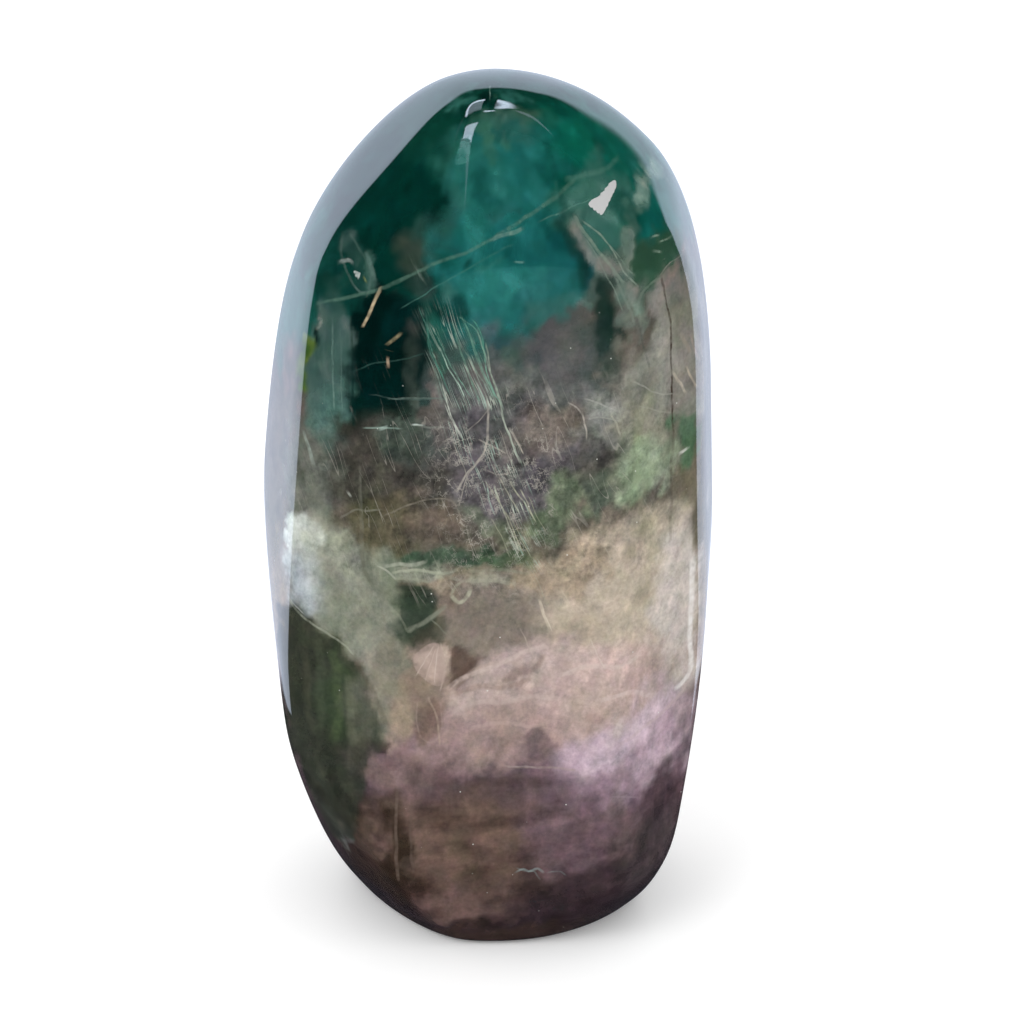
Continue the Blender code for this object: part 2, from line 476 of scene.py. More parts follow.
ZONES = tuple(Zone(*row) for row in (
    ("deep_left", (-11.7, -9.7, 86.8), 7.2, 12.9, 32, "#003A31", 0.95, 0.35),
    ("left_middle", (-15.8, -12.0, 75.8), 4.4, 10.8, 12, "#0B463D", 0.9, 0.4),
    ("teal_heart", (1.0, -14.9, 86.2), 5.7, 11.5, -6, "#1F7872", 0.85, 0.45),
    ("teal_low", (2.9, -16.1, 77.9), 8.5, 4.0, 12, "#26696A", 0.8, 0.5),
    ("teal_bright", (1.3, -16.0, 80.9), 3.3, 2.4, 10, "#2E9488", 0.7, 0.7),
    ("teal_blue", (3.6, -15.2, 85.0), 2.8, 1.9, 10, "#125F66", 0.75, 0.7),
    ("teal_pool", (8.8, -15.5, 82.7), 3.7, 4.7, 0, "#18606A", 0.8, 0.6),
    ("teal_spot", (1.3, -13.6, 88.3), 1.2, 1.2, 0, "#2A5F5C", 0.7, 0.7),
    ("teal_mist", (-1.9, -11.5, 91.5), 2.8, 4.0, 10, "#3B8577", 0.55, 0.8),
    ("crown_olive", (3.0, -7.9, 96.0), 3.9, 2.0, -8, "#56705B", 0.75, 0.7),
    ("crown_olive_left", (-0.9, -8.1, 96.1), 1.3, 1.9, 0, "#5A8267", 0.6, 0.8),
    ("crown_green", (10.8, -8.2, 93.7), 6.8, 4.0, -42, "#0A6E5C", 0.85, 0.5),
    ("dark_heart", (-3.5, -16.2, 79.3), 1.4, 3.1, 0, "#06483E", 0.7, 0.6),
    ("right_green", (16.9, -12.1, 85.6), 4.8, 5.2, 0, "#0C6A5F", 0.85, 0.5),
    ("glint_cloud", (12.0, -12.8, 88.6), 3.7, 3.5, -30, "#4C8576", 0.7, 0.7),
    ("pale_lump", (16.8, -7.4, 89.1), 1.6, 1.1, 10, "#8DB3A3", 0.7, 0.8),
    ("olive_right", (17.3, -12.9, 82.5), 4.2, 2.4, 12, "#3E5D44", 0.8, 0.6),
    ("dark_rib", (10.2, -15.3, 83.5), 1.1, 7.3, -17, "#0C3F37", 0.75, 0.7),
    ("pale_rib", (13.3, -15.1, 82.6), 1.2, 5.9, -30, "#8BA092", 0.7, 0.7),
    ("pale_rib_low", (15.7, -14.4, 76.7), 1.3, 4.2, -12, "#7E8C80", 0.6, 0.8),
    ("dark_band", (12.5, -15.7, 74.6), 1.4, 9.2, -4, "#1D352C", 0.85, 0.6),
    ("dark_pool", (-12.1, -14.2, 71.1), 3.3, 9.2, 0, "#001F1C", 0.97, 0.2),
    ("dark_pool_low", (-12.7, -14.4, 64.3), 4.6, 2.6, 0, "#1C2B24", 0.85, 0.6),
    ("dark_pool_right", (-7.6, -16.1, 69.6), 1.4, 3.5, 0, "#123A36", 0.85, 0.4),
    ("grey_stripe", (-9.2, -15.7, 68.2), 0.8, 9.6, -1, "#4A5A52", 0.75, 0.4),
    ("left_stripe", (-17.7, -11.7, 69.1), 2.8, 9.6, 3, "#54776F", 0.85, 0.4),
    ("left_stripe_pale", (-16.2, -12.2, 71.1), 0.9, 6.5, 2, "#5C8278", 0.5, 0.9),
    ("olive_fleck", (-19.7, -9.9, 70.6), 1.0, 3.2, 4, "#82A04E", 0.95, 0.45),
    ("left_dark", (-19.2, -9.6, 75.1), 0.4, 2.6, 3, "#0A2F2C", 0.8, 0.5),
    ("left_grey", (-19.8, -11.5, 57.8), 2.8, 7.1, 5, "#6A7067", 0.75, 0.6),
    ("triangle", (20.3, -10.6, 74.0), 3.1, 7.8, 6, "#8F8D85", 0.9, 0.25),
    ("triangle_brown", (21.8, -9.3, 73.5), 1.0, 6.1, 2, "#75695C", 0.7, 0.6),
    ("right_wall", (22.4, -9.4, 57.0), 1.5, 10.1, 2, "#77705F", 0.7, 0.6),
    ("smoky_middle", (3.5, -16.4, 70.8), 10.1, 5.9, 8, "#5F6261", 0.85, 0.5),
    ("smoky_right", (17.5, -13.4, 67.4), 3.7, 5.2, 0, "#8C8D82", 0.8, 0.6),
    ("mottled_middle", (1.3, -17.1, 61.0), 9.2, 6.6, 0, "#5C585E", 0.85, 0.6),
    ("mottled_left", (-11.3, -15.5, 59.4), 6.6, 5.6, 0, "#413F39", 0.85, 0.6),
    ("mottled_high_left", (-8.5, -16.3, 62.7), 3.7, 2.1, 0, "#46544B", 0.6, 0.8),
    ("warm_patch", (6.2, -16.6, 64.8), 3.7, 2.4, 0, "#85796C", 0.5, 1.0),
    ("cool_patch", (12.7, -16.2, 65.0), 3.3, 3.5, -20, "#868A84", 0.7, 0.8),
    ("tan_patch", (17.2, -13.7, 64.0), 3.3, 2.8, 0, "#9A9681", 0.65, 0.8),
    ("green_pale", (16.7, -14.4, 59.4), 3.5, 3.5, 25, "#8C9A82", 0.9, 0.7),
    ("green_pale_core", (18.4, -13.0, 57.5), 2.0, 2.4, 0, "#9CAB92", 0.6, 0.9),
    ("green_right", (22.0, -9.5, 61.8), 1.3, 3.1, 0, "#4B7156", 0.75, 0.7),
    ("dark_gap", (11.4, -16.5, 61.2), 1.5, 2.6, 20, "#4D4D49", 0.7, 0.7),
    ("dark_gap_low", (12.3, -16.7, 56.6), 1.3, 2.4, -20, "#4A5A4D", 0.7, 0.7),
    ("green_small", (8.7, -16.9, 57.4), 2.4, 2.4, -20, "#6E7C62", 0.75, 0.7),
    ("green_small_low", (6.6, -17.2, 53.9), 2.2, 1.9, -30, "#5A6C54", 0.7, 0.7),
    ("green_thread", (0.2, -17.5, 54.3), 3.7, 1.4, -30, "#76826A", 0.55, 0.8),
    ("brown_patch", (-6.4, -17.4, 55.2), 3.7, 2.4, 0, "#625A52", 0.85, 0.4),
    ("brown_low", (-11.4, -16.0, 52.7), 3.7, 3.3, 0, "#57533F", 0.75, 0.6),
    ("pale_shelf", (12.3, -16.9, 51.7), 4.4, 1.9, 10, "#9B907E", 0.6, 0.8),
    ("dark_ledge", (-4.2, -17.9, 49.7), 6.8, 1.5, 6, "#3C5343", 0.85, 0.6),
    ("ledge_pale", (-7.7, -17.6, 47.2), 4.4, 1.3, 4, "#8B9082", 0.8, 0.6),
    ("ledge_blob", (-11.9, -16.2, 47.5), 1.0, 0.8, 0, "#C2C1AA", 0.8, 0.6),
    ("dark_green_hollow", (-8.3, -17.8, 43.1), 3.1, 2.6, -15, "#2C382C", 0.95, 0.45),
    ("hollow_low", (-7.0, -18.2, 40.9), 2.0, 1.4, 20, "#4E5142", 0.85, 0.5),
    ("warm_middle", (0.8, -18.1, 42.3), 6.8, 5.2, 15, "#827970", 0.85, 0.5),
    ("warm_dark", (-1.1, -18.5, 36.4), 2.8, 2.1, 20, "#5F4F48", 0.8, 0.6),
    ("haze_middle", (-16.0, -14.5, 44.6), 6.1, 6.8, -36, "#7C8272", 0.9, 0.3),
    ("haze_green", (-12.3, -16.5, 40.8), 2.2, 4.9, 22, "#757B66", 0.7, 0.6),
    ("haze_left", (-20.8, -11.8, 47.1), 2.4, 5.4, 0, "#D3DAD4", 0.95, 0.35),
    ("haze_left_fade", (-18.2, -13.2, 47.7), 2.4, 4.7, 0, "#AFB2A0", 0.6, 0.9),
    ("blush_left", (-10.8, -17.8, 32.6), 2.6, 5.4, 12, "#A0907F", 0.85, 0.5),
    ("beige_right", (15.3, -16.1, 44.1), 8.3, 9.2, 10, "#C0B3A2", 0.9, 0.7),
    ("beige_top", (9.3, -17.3, 48.8), 4.4, 2.6, 20, "#9C8D78", 0.75, 0.6),
    ("beige_bright", (21.2, -11.1, 41.9), 2.4, 10.1, 0, "#CBC2BC", 0.8, 1.0),
    ("blush_middle", (6.4, -18.2, 34.0), 10.5, 6.1, 10, "#BAA8A2", 0.9, 0.45),
    ("blush_pink", (12.5, -17.8, 33.8), 6.6, 5.2, 20, "#C8B0AA", 0.7, 0.8),
    ("blush_low", (1.3, -18.8, 28.3), 9.2, 3.5, 4, "#A48D89", 0.85, 0.9),
    ("lilac", (16.8, -15.8, 26.1), 7.0, 4.7, 22, "#D4C0CB", 0.9, 0.9),
    ("lilac_deep", (20.6, -12.3, 27.2), 2.4, 3.5, -20, "#B29CA6", 0.75, 0.6),
    ("lilac_low", (13.8, -18.0, 21.4), 5.5, 2.6, 0, "#7E6774", 0.8, 0.7),
    ("fan_pale", (-6.5, -18.4, 38.3), 1.5, 2.4, 24, "#C2AFA2", 0.85, 0.4),
    ("fan_dark", (-6.6, -18.9, 30.4), 1.2, 2.6, 6, "#7E6D62", 0.7, 0.5),
    ("smoke_notch", (5.9, -18.6, 27.2), 1.5, 1.2, 0, "#6E5E60", 0.7, 0.7),
    ("olive_left", (-20.5, -13.4, 30.5), 3.5, 11.8, 6, "#30332B", 0.97, 0.3),
    ("olive_pale", (-15.6, -15.7, 31.0), 2.6, 6.1, 10, "#6F7059", 0.85, 0.5),
    ("olive_pale_high", (-18.7, -13.7, 38.1), 1.7, 2.6, 30, "#565A44", 0.8, 0.5),
    ("green_left", (-17.5, -14.8, 31.8), 0.9, 5.9, 12, "#32402C", 0.8, 0.6),
    ("green_left_low", (-17.6, -15.2, 24.8), 1.6, 2.8, 0, "#2A3526", 0.75, 0.6),
    ("umber_low", (-16.4, -15.9, 17.8), 3.5, 5.9, 14, "#17170F", 0.9, 0.8),
    ("dark_low", (-3.8, -18.9, 15.2), 12.2, 7.1, 0, "#6A574D", 0.9, 0.9),
    ("dark_low_core", (1.4, -19.0, 21.2), 6.6, 2.1, 0, "#5A4A47", 0.5, 1.0),
    ("wine_low", (5.9, -18.8, 20.5), 4.8, 2.8, 0, "#5E4D4F", 0.6, 0.7),
    ("mauve_low", (11.1, -18.3, 15.2), 7.2, 4.7, 10, "#6D5A5F", 0.8, 0.6),
    ("left_low", (-11.9, -15.4, 8.4), 5.5, 4.2, -20, "#33261F", 0.85, 0.6),
    ("pale_streak", (-10.4, -18.8, 15.7), 0.7, 6.1, 0, "#54463E", 0.75, 0.5),
    ("grey_left", (-17.4, -12.3, 13.0), 0.8, 3.1, 12, "#6C746E", 0.6, 0.6),
    ("grey_right", (18.9, -14.6, 11.9), 3.3, 4.9, -25, "#443C3E", 0.8, 0.9),
    ("base_mauve", (-2.1, -17.3, 6.2), 5.5, 3.1, 0, "#725C56", 0.7, 0.7),
    ("base_shade", (-0.1, -15.3, 0.2), 16.4, 2.6, 0, "#3A2D29", 0.9, 0.7),
    ("crown_dot", (2.3, -7.7, 96.3), 1.0, 0.8, 0, "#1F5346", 0.7, 0.8),
    ("crown_moss", (-0.2, -8.1, 96.0), 0.9, 0.8, 0, "#4F7C58", 0.7, 0.8),
    ("crown_moss_low", (-0.9, -9.5, 94.0), 0.9, 1.2, 0, "#4A7C5E", 0.6, 0.8),
    ("crown_dark", (4.2, -9.3, 94.0), 1.3, 1.1, 0, "#17584E", 0.6, 0.8),
    ("crown_hole", (1.0, -8.7, 95.0), 0.8, 0.6, 20, "#1A5448", 0.7, 0.7),
    ("crown_hole_two", (3.1, -8.6, 95.0), 0.7, 0.7, 0, "#175046", 0.7, 0.7),
    ("crown_fleck", (2.0, -9.5, 93.8), 1.0, 0.6, -20, "#5E8F6E", 0.5, 0.8),
    ("crown_fleck_two", (-1.5, -8.5, 95.5), 0.8, 0.7, 0, "#5C8E66", 0.5, 0.8),
    ("teal_pit", (1.6, -13.6, 88.2), 0.8, 0.7, 0, "#2C5A54", 0.6, 0.8),
    ("teal_pit_two", (4.5, -14.9, 85.6), 0.9, 0.6, 30, "#1A5A55", 0.6, 0.8),
    ("teal_fleck", (0.4, -15.8, 83.5), 1.1, 0.5, 24, "#4A9488", 0.5, 0.9),
    ("crown_light", (1.7, -11.7, 90.9), 1.3, 1.2, 0, "#2F877A", 0.6, 0.9),
    ("teal_light", (-0.9, -14.2, 87.6), 1.5, 1.9, 0, "#2E8A7C", 0.5, 0.9),
    ("spot_one", (4.9, -16.6, 66.5), 0.9, 0.7, 0, "#4E4A47", 0.7, 0.8),
    ("spot_two", (4.4, -16.9, 61.5), 0.9, 0.8, 0, "#4A4644", 0.7, 0.8),
    ("spot_three", (11.8, -16.5, 62.3), 0.7, 1.1, 0, "#3A3A38", 0.75, 0.7),
    ("spot_four", (11.5, -16.7, 57.9), 0.7, 1.5, 0, "#464A42", 0.7, 0.7),
    ("spot_five", (11.1, -18.1, 31.1), 0.9, 0.7, 0, "#A58E8A", 0.6, 0.8),
    ("spot_six", (14.1, -17.5, 29.9), 0.7, 0.7, 0, "#D8C6C2", 0.6, 0.8),
    ("lilac_fade", (13.4, -18.1, 23.2), 8.3, 2.1, 8, "#8E7A84", 0.6, 1.0),
    ("blush_fade", (-8.8, -18.9, 24.9), 4.8, 2.1, 0, "#86726A", 0.5, 1.0),
    ("streak_dark", (-11.2, -18.6, 15.1), 1.0, 5.2, 0, "#31261D", 0.85, 0.9),
    ("olive_fleck_low", (-20.7, -13.1, 32.9), 1.3, 2.4, 0, "#50543F", 0.6, 1.0),
    ("olive_dark", (-19.3, -14.2, 28.1), 1.0, 2.8, 0, "#23261C", 0.6, 1.0),
    ("moss_fleck", (-17.1, -14.7, 35.1), 0.9, 1.6, 20, "#5C6E48", 0.7, 0.9),
    ("moss_dark", (-17.4, -14.9, 29.7), 0.7, 2.4, 0, "#1F3A20", 0.7, 0.9),
    ("mix_green", (3.5, -16.3, 74.2), 2.6, 1.4, -60, "#5F7468", 0.5, 1.0),
    ("mix_blue", (2.0, -16.2, 76.1), 2.2, 0.8, 10, "#2F5F66", 0.55, 1.0),
    ("mix_teal_right", (8.0, -15.9, 77.2), 2.6, 1.4, 20, "#4E7A70", 0.5, 1.0),
    ("mix_low", (7.3, -16.1, 72.9), 1.1, 2.8, -20, "#5E5C60", 0.4, 1.0),
    ("spot_seven", (-12.4, -17.5, 27.3), 1.0, 0.9, 0, "#2A2620", 0.8, 0.8),
    ("grey_wisp", (12.4, -16.2, 66.9), 2.0, 0.9, 20, "#A3A49C", 0.6, 0.8),
    ("beige_wisp", (5.8, -16.6, 64.8), 2.0, 1.4, 0, "#8C8276", 0.4, 1.0),
    ("haze_right", (22.3, -9.8, 49.2), 1.3, 3.1, 0, "#C4BEB4", 0.45, 1.0),
))

# Where the fibres, the broken middle and the web lie. Their colour isn't used.
FIBRES = Zone("fibres", (-0.3, -16.5, 63.5), 3.0, 16.5, 21, "#FFFFFF", 1.0, 0.9)
BUSY = Zone("busy", (0.5, -16.8, 58.0), 19.0, 12.0, 6, "#FFFFFF", 1.0, 0.9, 14.0)
WEB = Zone("web", (0.8, -16.8, 57.0), 7.0, 10.0, 14, "#FFFFFF", 1.0, 0.9)
# The way that the fibres run, as points (x, z).
GUIDE = ((-7.0, 82.0), (-4.7, 76.0), (-1.4, 68.0), (1.3, 60.0), (4.6, 52.0), (7.0, 47.0))
GUIDE_WANDER = Wander(((0.5, 14, 61), (0.12, 4, 62)))

PATCHES = tuple(Patch(*row) for row in (
    ("glint_speckle", ((10.2, 88.5), (12.4, 88.2), (14.4, 85.4), (13.3, 84.9), (11.1, 86.7)), "#4E8478", 0.5, 1.5),
    ("teal_wedge", ((-2.6, 96.9), (-0.6, 97.5), (2.6, 97.7), (6.1, 96.1), (7.3, 93.0), (7.9, 89.8), (9.0, 86.5),
     (9.6, 83.3), (10.3, 78.0), (7.8, 75.8), (-1.9, 77.1), (-6.4, 83.2), (-5.5, 87.8), (-4.0, 91.6), (-3.2, 94.2)),
     "#227E77", 0.5, 1.6),
    ("green_flank", ((8.4, 96.3), (11.5, 95.0), (12.1, 92.2), (9.9, 91.5), (8.4, 93.9)), "#0A7A62", 0.6, 2.4),
    ("dark_pool", ((-14.5, 78.0), (-6.8, 79.6), (-6.6, 75.8), (-7.6, 68.3), (-14.7, 67.0)), "#001E1B", 0.92, 0.9),
    ("pool_stripe", ((-9.7, 76.8), (-8.5, 76.9), (-8.4, 64.9), (-9.8, 64.7)), "#3E4A42", 0.55, 0.9),
    ("left_stripe", ((-19.0, 75.1), (-14.8, 76.7), (-14.9, 65.2), (-19.1, 63.9)), "#44645E", 0.5, 1.5),
    ("triangle", ((18.8, 80.7), (19.8, 81.8), (21.2, 82.2), (23.5, 75.8), (25.2, 64.6), (24.5, 61.5), (20.5, 63.8),
     (20.1, 69.4), (20.0, 74.0), (19.5, 76.6)), "#88857D", 0.75, 0.75),
    ("pale_rib", ((9.3, 88.0), (10.4, 87.5), (13.2, 84.3), (16.4, 78.5), (16.2, 76.5), (13.3, 80.1), (11.4, 83.3),
     (9.8, 86.0)), "#8DA094", 0.55, 0.9),
    ("dark_rib", ((8.0, 88.6), (8.9, 88.5), (9.5, 87.3), (11.4, 82.9), (13.4, 77.7), (14.1, 73.9), (14.8, 69.3),
     (13.1, 69.5), (11.9, 74.6), (10.3, 79.1), (9.1, 83.3)), "#0F332C", 0.6, 0.9),
    ("flake", ((-15.8, 83.9), (-14.8, 84.3), (-12.8, 82.2), (-12.3, 80.0), (-13.7, 78.6), (-15.2, 80.0), (-16.0, 82.1)),
     "#2C5B52", 0.55, 0.6),
    ("flake_left_fill", ((-16.2, 83.6), (-15.6, 84.4), (-14.7, 84.5), (-14.2, 83.2), (-14.8, 81.7), (-15.9, 81.4),
     (-16.3, 82.5)), "#4C6B64", 0.6, 0.6),
    ("flake_right_fill", ((-13.6, 82.9), (-13.0, 83.4), (-12.3, 82.1), (-11.9, 80.4), (-12.5, 79.6), (-13.4, 79.9),
     (-13.8, 81.5)), "#527A70", 0.6, 0.6),
    ("smoke_puff", ((-7.8, 85.6), (-6.9, 87.2), (-5.1, 88.0), (-3.4, 87.6), (-3.8, 85.9), (-5.6, 84.6), (-7.1, 84.3)),
     "#3C6A60", 0.5, 2.0),
    ("smoke_high", ((-4.7, 90.2), (-2.8, 90.7), (-2.1, 88.9), (-3.4, 87.4), (-5.1, 87.8)), "#3F7D70", 0.5, 1.6),
    ("smoke_brown", ((-9.5, 84.0), (-8.2, 85.1), (-6.2, 85.3), (-5.4, 84.0), (-5.8, 82.5), (-7.7, 81.8), (-9.3, 82.4)),
     "#4A5649", 0.6, 1.8),
    ("smoke_under", ((-8.6, 81.5), (-6.4, 82.4), (-5.4, 81.4), (-5.8, 79.4), (-8.0, 79.0)), "#3A5049", 0.55, 1.2),
    ("pocket", ((-3.9, 80.9), (-2.4, 81.1), (-1.8, 79.6), (-2.8, 78.0), (-4.0, 78.9)), "#063C36", 0.75, 0.9),
    ("pocket_left", ((-7.1, 78.8), (-5.6, 79.2), (-5.4, 77.7), (-6.9, 77.1)), "#06352F", 0.7, 0.9),
    ("pocket_high", ((-2.7, 84.7), (-1.7, 84.6), (-1.9, 83.7), (-2.8, 83.7)), "#0A433C", 0.7, 0.6),
    ("pocket_low", ((-5.2, 77.7), (-3.3, 78.0), (-3.2, 77.1), (-4.9, 76.8)), "#1C2A34", 0.65, 0.6),
    ("light_slip", ((-4.8, 82.2), (-3.4, 82.2), (-3.5, 80.2), (-4.6, 79.9)), "#3F7A70", 0.6, 0.9),
    ("fibre_haze", ((-8.0, 79.0), (-6.9, 78.5), (-5.6, 75.9), (-4.6, 73.5), (-4.3, 70.8), (-5.6, 71.9), (-6.9, 74.1),
     (-7.5, 76.3)), "#2E7664", 0.5, 1.2),
    ("fibre_haze_right", ((-3.2, 77.8), (-1.1, 76.9), (-0.2, 73.5), (-0.9, 72.4), (-2.4, 74.9)), "#2E7468", 0.5, 1.2),
    ("leaf", ((-20.5, 72.7), (-19.7, 73.4), (-19.1, 72.7), (-19.0, 70.3), (-19.3, 67.7), (-20.0, 66.1), (-20.8, 66.2),
     (-21.0, 69.3)), "#66823A", 0.9, 0.5),
    ("leaf_shade", ((-19.5, 74.9), (-19.0, 75.1), (-19.0, 73.2), (-19.4, 73.2)), "#04211B", 0.85, 0.5),
    ("left_glow", ((-19.2, 76.3), (-18.5, 76.6), (-18.6, 75.1), (-19.1, 74.8)), "#8DAA9E", 0.8, 0.5),
    ("glint_haze", ((10.1, 92.4), (13.3, 91.9), (14.8, 89.9), (12.4, 87.6), (9.6, 87.3), (8.8, 90.1)),
     "#4F8679", 0.5, 2.1),
    ("lump", ((15.6, 89.7), (17.9, 88.9), (18.1, 88.0), (15.8, 88.6)), "#93B9AA", 0.75, 0.9),
    ("brown", ((-9.3, 55.5), (-6.0, 56.8), (-3.7, 56.6), (-2.5, 52.5), (-5.3, 51.9), (-9.1, 51.9)),
     "#645A50", 0.7, 0.9),
    ("green_strip", ((-2.2, 50.8), (5.7, 50.6), (6.1, 48.8), (1.3, 48.7), (-2.0, 49.3)), "#44583F", 0.65, 0.9),
    ("ledge", ((-10.6, 48.0), (-8.6, 48.7), (-6.0, 48.5), (-6.0, 47.2), (-8.6, 46.7), (-10.5, 46.9)),
     "#84877C", 0.55, 1.4),
    ("ledge_low", ((-2.2, 47.6), (3.5, 47.5), (3.8, 46.4), (-2.0, 46.4)), "#A3A290", 0.6, 0.6),
    ("hollow", ((-11.0, 44.4), (-7.0, 44.4), (-4.5, 44.4), (-7.4, 41.6), (-8.8, 38.8), (-10.4, 39.8)),
     "#394539", 0.8, 1.6),
    ("hollow_low", ((-8.7, 40.7), (-4.7, 44.1), (-4.0, 41.9), (-5.2, 38.7), (-8.2, 38.6)), "#3C4034", 0.7, 0.9),
    ("haze", ((-22.7, 47.4), (-21.1, 48.6), (-16.5, 49.7), (-14.0, 49.5), (-13.6, 47.3), (-11.7, 44.1), (-10.0, 41.4),
     (-8.8, 39.3), (-8.7, 37.2), (-11.4, 31.1), (-12.3, 26.7), (-12.8, 32.9), (-13.8, 34.6), (-15.3, 37.1),
     (-17.4, 38.5), (-19.6, 39.7), (-21.5, 40.9), (-22.8, 42.0)), "#8C8F82", 0.7, 1.2),
    ("haze_tail", ((-13.4, 39.7), (-9.6, 40.4), (-8.4, 37.2), (-10.8, 31.1), (-12.3, 26.5), (-13.3, 33.0)),
     "#716C5D", 0.5, 2.4),
    ("umber_low", ((-17.5, 22.9), (-13.6, 24.0), (-13.0, 20.0), (-14.4, 15.4), (-17.5, 16.9)), "#16160E", 0.6, 2.6),
    ("haze_bright", ((-22.9, 47.2), (-19.7, 48.8), (-18.6, 45.3), (-19.4, 40.1), (-21.2, 41.1), (-22.8, 42.0)),
     "#B6BFC7", 0.8, 3.6),
    ("olive_side", ((-23.7, 41.2), (-21.5, 40.6), (-19.6, 39.5), (-17.4, 38.2), (-15.3, 36.9), (-13.8, 34.3),
     (-12.8, 32.5), (-12.2, 26.8), (-12.9, 23.4), (-15.6, 15.1), (-18.7, 8.2), (-21.7, 20.4), (-23.4, 29.0)),
     "#34382F", 0.85, 1),
    ("green_streak", ((-18.0, 37.1), (-16.3, 37.2), (-15.6, 32.8), (-16.1, 26.5), (-18.2, 26.2), (-18.8, 32.1)),
     "#3A4A34", 0.6, 3.3),
    ("pale_streak", ((-15.5, 36.4), (-13.7, 33.9), (-12.8, 32.2), (-12.5, 27.3), (-14.9, 26.7), (-15.9, 31.5)),
     "#63675A", 0.7, 2.7),
    ("warm_dark", ((-4.7, 39.5), (-0.8, 39.0), (-1.1, 36.4), (-3.1, 34.7), (-4.5, 35.0)), "#52423B", 0.8, 0.9),
    ("fold", ((1.3, 35.2), (2.5, 34.4), (4.1, 36.6), (6.4, 38.1), (5.8, 38.8), (3.6, 37.7)), "#7C6960", 0.55, 0.75),
    ("cup", ((-8.2, 32.5), (-6.7, 33.3), (-5.3, 32.8), (-4.9, 30.4), (-5.6, 28.0), (-7.2, 27.4), (-7.7, 29.1),
     (-8.4, 31.0)), "#75645C", 0.7, 1.0),
    # Painted reflection: the pale border of the right rim's reflection.
    ("painted_rim_reflection_border", ((22.3, 47.7), (23.3, 47.4), (23.7, 34.8), (23.2, 30.1), (21.7, 30.7), (22.7, 35.2)),
     "#DDD6D0", 0.5, 1.6),
    ("lilac_patch", ((19.0, 30.6), (23.5, 31.4), (20.9, 29.0), (18.7, 28.4), (15.7, 27.1), (12.6, 25.0), (8.1, 24.0),
     (6.4, 26.5), (12.6, 28.7)), "#C9B4C0", 0.5, 2.4),
    ("crown_left", ((-5.7, 97.4), (-3.3, 98.8), (-0.9, 99.4), (-1.0, 99.0), (-2.8, 98.4), (-5.2, 97.2)),
     "#4A9488", 0.7, 0.75),
    ("crown_right", ((1.0, 99.6), (2.6, 99.4), (5.0, 99.0), (4.6, 98.8), (2.6, 99.1), (1.1, 99.2)),
     "#4A9488", 0.7, 0.75),
    # Painted reflection: the dark stem of the window's reflection at the very top.
    ("stem", ((-0.5, 99.6), (0.9, 99.7), (0.9, 98.5), (-0.6, 98.5)), "#01241F", 0.9, 0.6),
    ("stripe_right", ((16.6, 67.7), (19.8, 67.0), (20.2, 61.3), (17.3, 61.6)), "#8E8E7E", 0.5, 1.8),
    ("wall_light", ((16.3, 55.0), (23.1, 53.9), (23.2, 49.5), (18.0, 50.3)), "#C2B6A2", 0.5, 2.1),
    ("plum_band", ((-6.5, 24.8), (8.1, 24.2), (9.9, 20.2), (1.4, 19.9), (-6.6, 21.3)), "#4C4040", 0.35, 3.9),
    ("smoke_low", ((3.6, 28.1), (7.2, 27.8), (7.0, 25.1), (3.6, 25.1)), "#6A5A5E", 0.4, 1.6),
))

